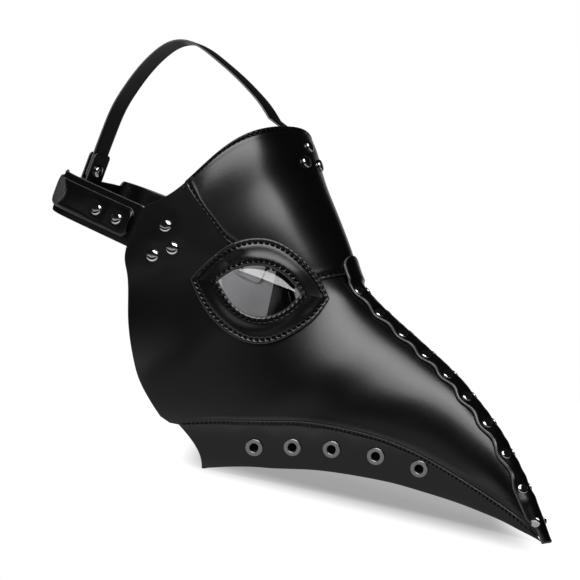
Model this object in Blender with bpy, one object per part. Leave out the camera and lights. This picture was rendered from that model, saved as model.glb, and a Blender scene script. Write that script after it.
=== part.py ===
"""Plague doctor mask: sewn and riveted leather panels, jaw bands, lenses, rivets, eyelets and head straps.

Metres, +Z up, +X along the beak. The mask rests on the rear corners of its jaw bands and on its tip.
The shell is a skin of ribs: each rib leaves the front profile and ends on the rear edge or the jaw seam.
"""

import math

import bpy
import numpy as np
from mathutils import Matrix, Vector

MM = 0.001

# Leather and its laps
LEATHER = 1.6
GAP = 0.4
STEP = LEATHER + GAP
SEAM_LAP = 7.0
JAW_LAP = 4.0

# Shell stations, in mm: front profile (x, z), rib end (x, z), half width there, nose radius, nose half width
STATIONS = np.array([
    (3, 241, -64, 170, 72.5, 60, 68),
    (12, 229.5, -71, 140, 74.5, 58, 66),
    (20, 215.5, -67.5, 124, 74.5, 54, 65),
    (39.5, 187.5, -61.4, 93, 71.5, 42, 62),
    (58.5, 159.5, -52.5, 61.5, 65.5, 29, 58),
    (69.5, 143.5, -38.7, 40.5, 61.5, 22, 55),
    (77, 137, -21.6, 25, 58.5, 19, 52),
    (85, 131.5, -7.3, 19, 55.5, 17, 48),
    (109.5, 117.5, 22, 24, 48.5, 14, 41),
    (129.5, 106.5, 54, 36.5, 41, 12, 35),
    (154, 92, 92.5, 45.5, 33.5, 10.5, 28.5),
    (170.5, 79.5, 121, 46.5, 27.5, 9, 23),
    (188, 64.5, 150.5, 40.5, 21, 7.5, 17.5),
    (206, 44.5, 180.5, 30, 14.5, 6, 12),
    (220, 26.5, 205, 20, 8.8, 4.5, 7.6),
    (230, 11.5, 222.5, 11.5, 5.6, 3.2, 4.2),
    (234, 5, 229, 6.5, 3.6, 2.6, 2.8),
])
# Jaw seam in the side view, where the ribs behind the bridge are trimmed
JAW_SEAM = np.array([
    (-45, 23), (-27, 27), (5.5, 35), (36.5, 41), (64.5, 46.5), (82, 48), (112.5, 47.5), (144, 42),
    (170, 31.5), (193, 22), (216.5, 11), (236, 0),
])
JAW_FROM = 6  # the station where the rear edge turns into the jaw seam
# Lower edge of the jaw band at the stations from JAW_FROM on: x, half width, z
JAW_EDGE = np.array([
    (0, 42, 0.5),
    (20, 40.5, 5.5),
    (49, 35.5, 10.5),
    (72, 31, 14.5),
    (101, 24.5, 17.3),
    (127, 19, 18),
    (152, 13, 16.5),
    (180, 9, 13.8),
    (205, 5.6, 9.6),
    (222.5, 4, 5.8),
    (231.5, 3.2, 2.8),
])
TOP_SWAY = 5.0
JAW_REAR_BOW = 7.5
JAW_BULGE = 1.5
BAND_SHORT = 9.0

# Seam between forehead and side panel, as points of the side view: ridge, behind the lens, top edge
SEAM = np.array([
    (68.5, 148.6), (61.5, 146.4), (52.5, 140.5), (25.0, 140.0), (-5.7, 156.0), (-22.7, 172.1),
    (-41.0, 188.6),
])

# Eye, in the side view: corners and curved edges of the surround and of its opening
SURROUND = np.array([
    (-24, 126.5), (-12, 144.5), (1, 157), (18, 162), (36, 155.5), (49, 144.5), (62, 129),
    (58, 116), (49, 104.5), (36, 94.5), (23, 91), (6, 95), (-11, 107.5),
])
OPENING = np.array([
    (-6, 129), (3, 138), (12, 142.5), (22, 143.5), (34, 139), (44.5, 129), (38, 118), (23, 110), (8, 114),
])
SURROUND_ROOM = 0.9
LENS_LIP = 3.0
LENS_ROOM = 1.8
LENS_THICK = 1.0
RETAINER_ROOM = 1.0
RETAINER_LIP = 5.0
RETAINER_HOLD = 2.0
EYE_CUT = (-100.0, -12.0)  # Y where the plug that opens the panels for the lens starts and ends

# Ridge strip
STRIP_HALF, STRIP_HALF_TIP = 12.2, 9.2
SCALLOP = 1.2
STRIP_TAB = 15.0
TONGUE_HALF = 5.0
STRIP_CLEAR = 2.0

# Rivets and eyelets
CAP_R, CAP_H = 4.5, 2.0
RIDGE_CAP_R, RIDGE_CAP_H = 3.6, 1.1
POST_R, POST_ROOM = 1.4, 0.35
BACK_R, BACK_H = 2.7, 0.8
CAP_ROOM = 0.3
BACK_ROOM = 0.55
RIDGE_FIRST = 11.7
RIDGE_RIVETS = (0.0, 22.4, 44.4, 66.3, 86.6, 106.5, 128.9, 152.6, 178.0)
TIP_RIVET_BACK = 8.5
TIP_CAP_R, TIP_ROOM = 3.3, 1.3
RIDGE_SIDE, RIDGE_SIDE_TIP = 7.8, 4.8
SIDE_RIVETS = ((-47.3, 158.5), (-39.6, 144.3), (-52.0, 137.0))
EYELETS = ((29.5, 0.52), (55.0, 0.5), (80.0, 0.46), (105.5, 0.41), (130.0, 0.34))
EYELET_R, EYELET_HOLE_R, EYELET_RIM = 6.0, 3.0, 1.1
EYELET_WALL = 0.5

# Head straps
STRAP_TILT = math.radians(11.0)
STRAP_THICK = 1.8
SIDE_STRAP_WIDTH = 30.0
BACK_STRAP_WIDTH = 21.0
STRAP_ROOT = (-67.7, 153.9)
SIDE_STRAP_FRONT = 40.0
SIDE_TAB_WIDTH = 38.0
BACK_STRAP_FRONT = 5.6
# Plan of the strap loop's right half behind the side panel: distance back, half width
LOOP_PLAN = np.array([
    (20.0, 70.6), (40.0, 67.4), (60.0, 63.6), (72.5, 59.0), (80.5, 51.5), (85.0, 43.0), (87.0, 34.0),
])
SIDE_STRAP_END = 99.0
BACK_RIVETS = (17.0, 36.0)
TOP_STRAP_WIDTH = 21.0
TOP_TAB_WIDTH = 33.0
TOP_TAB_FRONT = 34.0
TAB_RIVET_TOP, TAB_RIVET_LOW, TAB_RIVET_IN = 14.5, 26.5, 5.0
KEEPER_WIDTH = 23.0
KEEPER_RISE = 30.5
KEEPER_RIVET = 18.0
KEEPER_ROOM = 0.35
FOLD = 1.0
TOP_STRAP_PATH = np.array([
    (-144.8, 219), (-140.5, 236), (-133.5, 252), (-124.5, 267.5), (-114.5, 280), (-104.5, 288), (-93.5, 291),
    (-81, 288.8), (-66, 281.8), (-50, 273), (-36, 264), (-23.5, 254.5), (-15, 246),
])

nodes = []
helpers = []


def spline(knots, values):
    """Returns the natural cubic through the values at these knots, as a function of numpy arrays."""
    knots = np.asarray(knots, float)
    values = np.asarray(values, float)
    shape = values.shape[1:]
    values = values.reshape(len(knots), -1)
    h = np.diff(knots)
    system = np.eye(len(knots))
    right = np.zeros_like(values)
    for k in range(1, len(knots) - 1):
        system[k, k - 1:k + 2] = h[k - 1], 2 * (h[k - 1] + h[k]), h[k]
        right[k] = 6 * ((values[k + 1] - values[k]) / h[k] - (values[k] - values[k - 1]) / h[k - 1])
    bend = np.linalg.solve(system, right)

    def at(x):
        x = np.asarray(x, float)
        k = np.clip(np.searchsorted(knots, x) - 1, 0, len(h) - 1)
        a = ((knots[k + 1] - x) / h[k])[..., None]
        b = 1 - a
        wide = (h[k] ** 2 / 6)[..., None]
        inside = a * values[k] + b * values[k + 1] + wide * ((a**3 - a) * bend[k] + (b**3 - b) * bend[k + 1])
        over = np.maximum(x - knots[-1], 0)[..., None]
        slope = (values[-1] - values[-2]) / h[-1]
        inside = np.where(over > 0, values[-1] + over * slope, inside)
        return inside.reshape(x.shape + shape)

    return at


def smooth(x):
    x = np.clip(x, 0, 1)
    return x * x * (3 - 2 * x)


profile = STATIONS[:, :2]
arc = np.concatenate([[0.0], np.cumsum(np.linalg.norm(np.diff(profile, axis=0), axis=1))])
station = spline(arc, STATIONS)
jaw = spline(arc[JAW_FROM:], JAW_EDGE)
T_JAW, T_END = arc[JAW_FROM], arc[-1]


def rib(t, s):
    """Side view point and half width at fraction s of the rib that leaves the profile at length t."""
    row = station(t)
    front, end = row[..., 0:2], row[..., 2:4]
    long = np.linalg.norm(end - front, axis=-1)
    wide, nose, flat = row[..., 4], row[..., 5], row[..., 6]
    depth = s * long
    swell = flat * np.sqrt(1 - np.exp(-2 * depth * nose / flat**2))
    full = flat * np.sqrt(1 - np.exp(-2 * long * nose / flat**2))
    point = front + s[..., None] * (end - front)
    sway = TOP_SWAY * np.sin(2 * np.pi * np.clip(s, 0, 1)) * np.exp(-((t / 18.0) ** 2))
    return point[..., 0], point[..., 1] + sway, swell + (wide - full) * s


def rib_trim():
    """Fraction of each rib that lies above the jaw seam, by halving, as lengths t and fractions."""
    t = np.linspace(0, T_END, 500)
    low, high = np.full(t.shape, 0.3), np.ones(t.shape)
    seam_z = spline(JAW_SEAM[:, 0], JAW_SEAM[:, 1])
    for _ in range(40):
        mid = (low + high) / 2
        x, z, _ = rib(t, mid)
        above = (z > seam_z(x)) | (x < JAW_SEAM[0, 0])
        low, high = np.where(above, mid, low), np.where(above, high, mid)
    return t, low


trim_t, trim_s = rib_trim()


def skin_side(t, u):
    """Side view point and half width: u squared is the fraction of the trimmed rib, so the ridge is smooth."""
    return rib(t, u * u * np.interp(t, trim_t, trim_s))


def skin(t, u):
    """Right half of the shell's inner face, left half for negative u."""
    x, z, half = skin_side(t, u)
    return np.stack([x, -np.sign(u) * half, z], -1)


def jaw_skin(t, b):
    """Inner face of the right jaw band, from the seam (b = 0) to the lower edge (b = 1)."""
    top = skin(t, np.ones_like(t))
    row = jaw(t)
    low = np.stack([row[..., 0], -row[..., 1], row[..., 2]], -1)
    point = top + b[..., None] * (low - top)
    arch = np.sin(np.pi * np.clip(b, 0, 1))
    point[..., 0] += JAW_REAR_BOW * arch * np.exp(-((t - T_JAW) / 9.0))
    drop = np.linalg.norm(low - top, axis=-1)
    point[..., 1] -= JAW_BULGE * arch * drop / 40
    point[..., 2] -= 0.6 * JAW_BULGE * arch * drop / 40
    return point


def normals(surface, a, b, da=0.05, db=0.002):
    """Outward unit normals of a surface of two parameters, by differences."""
    along = surface(a + da, b) - surface(a - da, b)
    across = surface(a, b + db) - surface(a, b - db)
    n = np.cross(across, along)
    return n / np.linalg.norm(n, axis=-1, keepdims=True)


def skin_offset(t, u, off):
    return skin(t, u) + normals(skin, t, u) * np.asarray(off)[..., None]


def locate(x, z):
    """Finds the rib length and root fraction of side view points, by Newton steps."""
    x, z = np.asarray(x, float), np.asarray(z, float)
    ts, us = np.meshgrid(np.linspace(1, T_END - 1, 90), np.linspace(0.05, 1, 40), indexing="ij")
    gx, gz, _ = skin_side(ts, us)
    near = np.argmin((gx.ravel() - x[..., None]) ** 2 + (gz.ravel() - z[..., None]) ** 2, axis=-1)
    t, u = ts.ravel()[near], us.ravel()[near]
    for _ in range(12):
        x0, z0, _ = skin_side(t, u)
        xt, zt, _ = skin_side(t + 0.01, u)
        xu, zu, _ = skin_side(t, u + 0.0005)
        a, c = (xt - x0) / 0.01, (zt - z0) / 0.01
        b, d = (xu - x0) / 0.0005, (zu - z0) / 0.0005
        det = a * d - b * c
        t = t + np.clip(((x - x0) * d - (z - z0) * b) / det, -6, 6)
        u = np.clip(u + np.clip(((z - z0) * a - (x - x0) * c) / det, -0.1, 0.1), 0.02, 1.4)
    return t, u


def u_at(t, distance):
    """Root fraction whose arc from the ridge, along the rib, has this length."""
    us = np.linspace(0, 1, 160)
    flat_t, flat_d = np.broadcast_arrays(np.asarray(t, float), np.asarray(distance, float))
    found = np.empty(flat_t.size)
    for k, (one, far) in enumerate(zip(flat_t.ravel(), flat_d.ravel())):
        points = skin(np.full(us.shape, one), us)
        length = np.concatenate([[0.0], np.cumsum(np.linalg.norm(np.diff(points, axis=0), axis=1))])
        found[k] = np.interp(far, length, us)
    return found.reshape(flat_t.shape)


SEAM_STEPS = 10
seam_run = np.linspace(0, len(SEAM) - 1, SEAM_STEPS * (len(SEAM) - 1) + 1)
seam_x, seam_z = (np.interp(seam_run, np.arange(len(SEAM)), SEAM[:, k]) for k in (0, 1))
seam_t, seam_u = locate(seam_x, seam_z)
seam_u = np.maximum.accumulate(seam_u)
seam_u[0], seam_t[-1] = 0.0, 1.0
U_TOP = seam_u[-1]
T_BRIDGE = seam_t[0]


def seam_at(u):
    return np.interp(u, seam_u, seam_t)


def material(name, colour, roughness, metallic):
    made = bpy.data.materials.new(name)
    made.use_nodes = True
    bsdf = made.node_tree.nodes["Principled BSDF"]
    bsdf.inputs["Base Color"].default_value = (*colour, 1)
    bsdf.inputs["Roughness"].default_value = roughness
    bsdf.inputs["Metallic"].default_value = metallic
    return made


def add(name, points, faces, look, helper=False, mirrored=False):
    """Makes one object from points in mm."""
    points = np.array(points, float)
    if mirrored:
        points[:, 1] *= -1
        faces = [tuple(reversed(face)) for face in faces]
    mesh = bpy.data.meshes.new(name)
    mesh.from_pydata((points * MM).tolist(), [], faces)
    mesh.update()
    made = bpy.data.objects.new(name, mesh)
    bpy.context.scene.collection.objects.link(made)
    if helper:
        made.hide_render = True
        made.display_type = "WIRE"
        helpers.append(made)
    else:
        mesh.materials.append(look)
        nodes.append(made)
    return made


def slab(outer, inner, ring=False):
    """Closed solid between two grids of points: rows along the first axis, closed round it for a ring."""
    rows, cols = outer.shape[:2]
    points = np.concatenate([outer.reshape(-1, 3), inner.reshape(-1, 3)])
    low = rows * cols
    faces = []

    def at(i, j):
        return (i % rows) * cols + j

    last = rows if ring else rows - 1
    for i in range(last):
        for j in range(cols - 1):
            a, b, c, d = at(i, j), at(i + 1, j), at(i + 1, j + 1), at(i, j + 1)
            faces.append((a, b, c, d))
            faces.append((d + low, c + low, b + low, a + low))
        for j, turn in ((0, 1), (cols - 1, -1)):
            a, b = at(i, j), at(i + 1, j)
            faces.append((b, a, a + low, b + low)[::turn])
    if not ring:
        for i, turn in ((0, -1), (rows - 1, 1)):
            for j in range(cols - 1):
                a, b = at(i, j), at(i, j + 1)
                faces.append((b, a, a + low, b + low)[::turn])
    return points, faces


def oriented(points, faces):
    """Turns every face round if the solid is inside out."""
    volume = 0.0
    for face in faces:
        for k in range(1, len(face) - 1):
            a, b, c = points[face[0]], points[face[k]], points[face[k + 1]]
            volume += np.dot(a, np.cross(b, c))
    return faces if volume > 0 else [tuple(reversed(face)) for face in faces]


def solid(name, outer, inner, look, ring=False, mirrored=False):
    points, faces = slab(outer, inner, ring)
    return add(name, points, oriented(points, faces), look, mirrored=mirrored)


def frame_of(normal):
    normal = np.asarray(normal, float) / np.linalg.norm(normal)
    side = np.cross((0.0, 0.0, 1.0) if abs(normal[2]) < 0.9 else (1.0, 0.0, 0.0), normal)
    side /= np.linalg.norm(side)
    return side, np.cross(normal, side), normal


def turned(outline, place, normal, sides):
    """Points and faces of an outline (radius, height) turned round an axis through place."""
    ex, ey, ez = frame_of(normal)
    place = np.asarray(place, float)
    points, faces, rings = [], [], []
    for radius, height in outline:
        if radius == 0:
            rings.append([len(points)])
            points.append(place + ez * height)
            continue
        rings.append(list(range(len(points), len(points) + sides)))
        for k in range(sides):
            angle = 2 * math.pi * k / sides
            points.append(place + ez * height + radius * (ex * math.cos(angle) + ey * math.sin(angle)))
    for low, high in zip(rings, rings[1:]):
        for k in range(sides):
            n = (k + 1) % sides
            if len(low) == 1:
                faces.append((low[0], high[k], high[n]))
            elif len(high) == 1:
                faces.append((low[n], low[k], high[0]))
            else:
                faces.append((low[k], high[k], high[n], low[n]))
    if len(rings[0]) > 1 and len(rings[-1]) > 1:
        if outline[0] == outline[-1]:
            first, last = rings[0], rings[-1]
            swap = dict(zip(last, first))
            faces = [tuple(swap.get(v, v) for v in face) for face in faces]
            points = points[:last[0]]
        else:
            faces.append(tuple(rings[0]))
            faces.append(tuple(reversed(rings[-1])))
    points = np.array(points)
    return points, oriented(points, faces)


SIDES = 8


def rivet(name, place, normal, top, bottom, cap_r, cap_h, look, mirrored=False, both=False):
    """Spool: domed cap, post and back cap. top and bottom are the leather's faces along the normal."""
    high, low = top + CAP_ROOM, bottom - BACK_ROOM
    back = [(BACK_R, low), (BACK_R, low - BACK_H), (0, low - BACK_H)]
    if both:
        low = bottom - CAP_ROOM
        back = [(cap_r, low), (0.66 * cap_r, low - 0.72 * cap_h), (0, low - cap_h)]
    outline = [(0, high + cap_h), (0.66 * cap_r, high + 0.72 * cap_h), (cap_r, high)]
    outline += [(POST_R, high), (POST_R, low)] + back
    points, faces = turned(outline, place, normal, SIDES)
    return add(name, points, faces, look, mirrored=mirrored)


def drill(place, normal, top, bottom, radius=POST_R + POST_ROOM, sides=SIDES):
    return turned([(radius, top), (radius, bottom)], place, normal, sides)


def cut(target, pieces, mirrored=False):
    """One cutter made of many plugs, taken out of the target with a Boolean."""
    points, faces = [], []
    for some, loops in pieces:
        base = len(points)
        points.extend(some)
        faces.extend(tuple(v + base for v in loop) for loop in loops)
    cutter = add("cutter_" + target.name, points, faces, None, helper=True, mirrored=mirrored)
    boolean = target.modifiers.new("holes", "BOOLEAN")
    boolean.operation = "DIFFERENCE"
    boolean.solver = "EXACT"
    boolean.object = cutter


def both_hands(points_faces):
    points, faces = points_faces
    points = np.array(points) * (1, -1, 1)
    return points, [tuple(reversed(face)) for face in faces]


def grid(rows, cols):
    return np.meshgrid(rows, cols, indexing="ij")


def outline_of(points, count):
    """Closed outline with two sharp corners, evenly sampled between them, count points a side."""
    sides = []
    front = points[:, 0].argmax()
    for some in (points[:front + 1], np.vstack([points[front:], points[:1]])):
        length = np.concatenate([[0.0], np.cumsum(np.linalg.norm(np.diff(some, axis=0), axis=1))])
        sides.append(spline(length, some)(np.linspace(0, length[-1], count + 1)[:-1]))
    return np.vstack(sides)


def grown(points, by):
    """The outline moved outwards by a distance, along the mean normal of its neighbours."""
    along = np.roll(points, -1, axis=0) - np.roll(points, 1, axis=0)
    out = np.stack([-along[:, 1], along[:, 0]], -1)
    out /= np.linalg.norm(out, axis=1, keepdims=True)
    return points + by * out


def drape(points, off):
    t, u = locate(points[..., 0], points[..., 1])
    return skin_offset(t, u, off)


def lift(points):
    """How many laps lie under the eye surround: one over the side panel, two over the forehead panel."""
    t, u = locate(points[..., 0], points[..., 1])
    return STEP * (1 + smooth((seam_at(u) + 11 - t) / 8)) + SURROUND_ROOM


for old in list(bpy.data.objects):
    bpy.data.objects.remove(old, do_unlink=True)

leather = material("black_leather", (0.012, 0.012, 0.013), 0.4, 0.0)
strap_leather = material("strap_leather", (0.014, 0.014, 0.015), 0.45, 0.0)
steel = material("polished_steel", (0.78, 0.78, 0.8), 0.15, 1.0)
tint = material("lens_tint", (0.22, 0.22, 0.23), 0.08, 0.6)

# Panels of the right side
U_RIDGE = 0.05
panel_u = np.concatenate([np.linspace(U_RIDGE, 0.6, 10), np.linspace(0.72, 1.0, 4)])
start = np.maximum(seam_at(panel_u) - SEAM_LAP, 0.0)
start = np.where(panel_u >= U_TOP, 0.0, start)
along = np.concatenate([np.linspace(0, 0.3, 12), [0.34, T_JAW / T_END], np.linspace(0.42, 1, 11)])
I, U = grid(along, panel_u)
T = start[None, :] + (T_END - start[None, :]) * I
panel_outer = skin_offset(T, U, np.full(T.shape, LEATHER))
panel_inner = skin_offset(T, U, np.zeros(T.shape))
edge_t = T[:, -1]
hold = smooth((edge_t - T_JAW - 4) / 14) * smooth((T_END - BAND_SHORT - edge_t) / 12)
tail_span = jaw_skin(edge_t, np.ones_like(edge_t)) - jaw_skin(edge_t, np.zeros_like(edge_t))
tail_long = np.linalg.norm(tail_span, axis=-1)
tail_b = np.minimum(JAW_LAP / tail_long, 0.3)
tail_n = normals(jaw_skin, edge_t, tail_b)
tail_in = jaw_skin(edge_t, tail_b)
free = skin(edge_t, np.full(edge_t.shape, 1.004))
free_n = normals(skin, edge_t, np.ones_like(edge_t))
tail_in = free + hold[:, None] * (tail_in - free)
tail_n = free_n + hold[:, None] * (tail_n - free_n)
tail_n /= np.linalg.norm(tail_n, axis=1, keepdims=True)
panel_outer = np.concatenate([panel_outer, (tail_in + LEATHER * tail_n)[:, None]], axis=1)
panel_inner = np.concatenate([panel_inner, tail_in[:, None]], axis=1)
panels = {}
for hand, flip in (("right", False), ("left", True)):
    panels[hand] = solid("side_panel_" + hand, panel_outer, panel_inner, leather, mirrored=flip)

# Forehead panel, over the side panels
half_u = np.linspace(0, U_TOP, 13)
full_u = np.concatenate([-half_u[:0:-1], half_u])
I, U = grid(np.linspace(0, 1, 12), full_u)
T = np.maximum(seam_at(np.abs(U)), 3.0) * I
forehead = solid("forehead_panel", skin_offset(T, U, np.full(T.shape, STEP + LEATHER)),
                 skin_offset(T, U, np.full(T.shape, STEP)), leather)

# Jaw bands, over the side panels' lower margin
band_t = np.concatenate([[T_JAW, T_JAW + 2.6], np.linspace(T_JAW + 10, T_END - BAND_SHORT, 20)])
band_b = np.array([0.0, 0.1, 0.36, 0.66, 1.0])
I, B = grid(band_t, band_b)
band_n = normals(jaw_skin, I, B)
band_mid = jaw_skin(I, B)
band_outer = band_mid + (STEP + LEATHER) * band_n
band_inner = band_mid + STEP * band_n
level = (band_outer[:, -1, 2] + band_inner[:, -1, 2]) / 2
level -= level[0]
level[:2] = 0.0
band_outer[:, -1, 2] = level
band_inner[:, -1, 2] = level
bands = {}
for hand, flip in (("right", False), ("left", True)):
    bands[hand] = solid("lower_band_" + hand, band_outer, band_inner, leather, mirrored=flip)


# Ridge strip, over both side panels and the forehead's lower end
rivet_t = T_BRIDGE + RIDGE_FIRST + np.array(RIDGE_RIVETS)
strip_t = np.concatenate([
    np.linspace(T_BRIDGE - STRIP_TAB, rivet_t[0] - 5, 7), np.linspace(rivet_t[0], T_END, 34), [T_END + 1],
])
phase = np.interp(strip_t, rivet_t, np.arange(len(rivet_t)))
half = np.interp(strip_t, [rivet_t[-4], T_END], [STRIP_HALF, STRIP_HALF_TIP])
half += SCALLOP * (np.cos(2 * np.pi * phase) - 1)
strip_ribs = skin(*grid(np.minimum(strip_t, T_END), np.linspace(0, 1, 120)))
whole = np.linalg.norm(np.diff(strip_ribs, axis=1), axis=2).sum(axis=1)
half = np.minimum(half, whole - STRIP_CLEAR)
half[-2:] = np.minimum(TONGUE_HALF, half[-2:])
tab = np.clip((strip_t - strip_t[0]) / 7.0, 0, 1)
half *= np.sqrt(np.maximum(1 - (1 - tab) ** 2, 0.12))
across = np.linspace(-1, 1, 9)
T, A = grid(strip_t, across)
U = np.sign(A) * u_at(np.minimum(T, T_END), np.abs(A) * half[:, None])
under = STEP * (1 + smooth((T_BRIDGE + 5.5 - T) / 4.5))
strip_outer = skin_offset(T, U, under + LEATHER)
strip_inner = skin_offset(T, U, under)
ahead = (profile[-1] - profile[-2]) / (profile[-2, 1] - profile[-1, 1])
for face in (strip_outer, strip_inner):
    face[-1] = face[-2] + face[-2, :, 2:] * (ahead[0], 0.0, -1.0)
strip = solid("ridge_strip", strip_outer, strip_inner, leather)

# Eyes
eye_count = 15
opening = outline_of(OPENING, eye_count)
surround = outline_of(SURROUND, eye_count)
lens_edge = grown(opening, LENS_LIP)
room_edge = grown(opening, LENS_LIP + LENS_ROOM)
across = np.linspace(0, 1, 5)[None, :, None]
ring_points = opening[:, None] + across * (surround - opening)[:, None]
ring_lift = lift(ring_points)
ring_outer, ring_inner = drape(ring_points, ring_lift + LEATHER), drape(ring_points, ring_lift)
hold_in = grown(opening, LENS_LIP - RETAINER_HOLD)
hold_out = grown(opening, LENS_LIP + RETAINER_LIP)
across = np.array([0.0, 1.0])[None, :, None]
hold_points = hold_in[:, None] + across * (hold_out - hold_in)[:, None]
hold_outer = drape(hold_points, np.full(hold_points.shape[:2], -RETAINER_ROOM))
hold_inner = drape(hold_points, np.full(hold_points.shape[:2], -RETAINER_ROOM - LENS_THICK))


def disc(outline, low, high):
    """Closed plate on the shell inside an outline: shrinking rings round a middle point, on two faces."""
    middle = outline.mean(axis=0)
    count = len(outline)
    flat = np.vstack([middle + f * (outline - middle) for f in (1.0, 0.5)] + [middle[None]])
    size = len(flat)
    points = np.vstack([drape(flat, np.full(size, high)), drape(flat, np.full(size, low))])
    faces = []
    for k in range(count):
        n = (k + 1) % count
        faces.append((k, n, n + count, k + count))
        faces.append((k + count + size, n + count + size, n + size, k + size))
        faces.append((count + k, count + n, size - 1))
        faces.append((2 * size - 1, count + n + size, count + k + size))
        faces.append((n, k, k + size, n + size))
    return points, oriented(points, faces)


def prism(outline, near, far):
    """Plug through the shell along Y with this side view outline."""
    count = len(outline)
    points = [(x, near, z) for x, z in outline] + [(x, far, z) for x, z in outline]
    faces = [tuple(range(count)), tuple(range(2 * count - 1, count - 1, -1))]
    faces += [(k, k + count, (k + 1) % count + count, (k + 1) % count) for k in range(count)]
    points = np.array(points)
    return points, oriented(points, faces)


lens_points, lens_faces = disc(lens_edge, GAP, GAP + LENS_THICK)
for hand, flip in (("right", False), ("left", True)):
    solid("eye_surround_" + hand, ring_outer, ring_inner, leather, ring=True, mirrored=flip)
    solid("lens_retainer_" + hand, hold_outer, hold_inner, leather, ring=True, mirrored=flip)
    add("eye_lens_" + hand, lens_points, lens_faces, tint, mirrored=flip)
eye_plug = prism(room_edge, *EYE_CUT)

# Holes and rivets of the shell. Each list holds the plugs that leave one piece.
panel_plugs, strip_plugs, forehead_plugs, band_plugs = [eye_plug], [], [eye_plug, both_hands(eye_plug)], []
STACK = STEP + LEATHER
rivet_u = u_at(rivet_t, np.linspace(RIDGE_SIDE, RIDGE_SIDE_TIP, len(rivet_t)))
rivet_at = skin(rivet_t, rivet_u)
rivet_n = normals(skin, rivet_t, rivet_u)
for k, (place, normal) in enumerate(zip(rivet_at, rivet_n), 1):
    plug = drill(place, normal, STACK + 3, -2.0)
    panel_plugs.append(plug)
    strip_plugs += [plug, both_hands(plug)]
    for hand, flip in (("right", False), ("left", True)):
        rivet(f"ridge_rivet_{hand}_{k}", place, normal, STACK, 0.0, RIDGE_CAP_R, RIDGE_CAP_H, steel, flip)
tip_t = np.array([T_END - TIP_RIVET_BACK])
tip_u = u_at(tip_t, np.array([RIDGE_SIDE_TIP]))
tip_side = skin_offset(tip_t, tip_u, np.array([STACK]))[0]
tip_place = np.array([tip_side[0], 0.0, tip_side[2]])
tip_reach = abs(tip_side[1]) + TIP_ROOM
rivet("tip_rivet", tip_place, (0, -1, 0), tip_reach, -tip_reach, TIP_CAP_R, RIDGE_CAP_H, steel, both=True)
tip_plug = drill(tip_place, (0, -1, 0), tip_reach + 8, -tip_reach - 8)
panel_plugs.append(tip_plug)
strip_plugs.append(tip_plug)

# Eyelets of the jaw bands
for k, (along_t, down) in enumerate(EYELETS, 1):
    one_t, one_b = np.array([T_JAW + along_t]), np.array([down])
    place, normal = jaw_skin(one_t, one_b)[0], normals(jaw_skin, one_t, one_b)[0]
    high, low = STACK + CAP_ROOM, STEP - BACK_ROOM
    barrel = EYELET_HOLE_R + EYELET_WALL
    outline = [
        (EYELET_HOLE_R, high + EYELET_RIM), (0.5 * (EYELET_HOLE_R + EYELET_R), high + EYELET_RIM),
        (EYELET_R, high + 0.3 * EYELET_RIM), (EYELET_R, high), (barrel, high), (barrel, low),
        (EYELET_R - 2, low), (EYELET_R - 2, low - EYELET_WALL), (EYELET_HOLE_R, low - EYELET_WALL),
        (EYELET_HOLE_R, high + EYELET_RIM),
    ]
    points, faces = turned(outline, place, normal, 10)
    for hand, flip in (("right", False), ("left", True)):
        add(f"eyelet_{hand}_{k}", points, faces, steel, mirrored=flip)
    band_plugs.append(drill(place, normal, STACK + 4, STEP - 4, barrel + POST_ROOM, 10))

# Side straps, back strap: a band swept along a plan path in a plane tilted by STRAP_TILT
BACK_DIR = np.array([-math.cos(STRAP_TILT), math.sin(STRAP_TILT)])
WIDE_DIR = np.array([math.sin(STRAP_TILT), math.cos(STRAP_TILT)])
root = np.array(STRAP_ROOT)


def on_strap_plane(back, wide):
    return root + back[..., None] * BACK_DIR + wide[..., None] * WIDE_DIR


root_skin = drape(on_strap_plane(np.zeros(1), np.zeros(1)), np.full(1, -GAP))[0]
plan = np.vstack([[0.0, -root_skin[1]], LOOP_PLAN])
plan_arc = np.concatenate([[0.0], np.cumsum(np.linalg.norm(np.diff(plan, axis=0), axis=1))])
plan_at = spline(plan_arc, plan)
PLAN_STRAIGHT = plan_arc[-1]


def strap_point(s, wide, off):
    """Point of the strap loop at length s behind the panel's edge, height wide across, off outwards."""
    where = plan_at(np.minimum(s, PLAN_STRAIGHT))
    slope = plan_at(np.minimum(s, PLAN_STRAIGHT) + 0.05) - plan_at(np.minimum(s, PLAN_STRAIGHT) - 0.05)
    slope[s >= PLAN_STRAIGHT] = (0.0, -1.0)
    slope /= np.linalg.norm(slope, axis=-1, keepdims=True)
    over = np.maximum(s - PLAN_STRAIGHT, 0.0)
    lane = drape(on_strap_plane(np.zeros_like(wide), wide), np.full(wide.shape, -GAP))
    twist = (-lane[..., 1] - plan[0, 1]) * np.exp(-np.maximum(s, 0) / 18.0)
    back = where[..., 0] - off * slope[..., 1]
    half_y = where[..., 1] - over + off * slope[..., 0] + twist
    side = on_strap_plane(back, wide)
    return np.stack([side[..., 0], -half_y, side[..., 1]], -1)


def strap_inside(back, wide, off):
    """Point of the side strap's tab, which follows the side panel's inner face."""
    return drape(on_strap_plane(-back, wide), np.full(back.shape, off))


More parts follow.
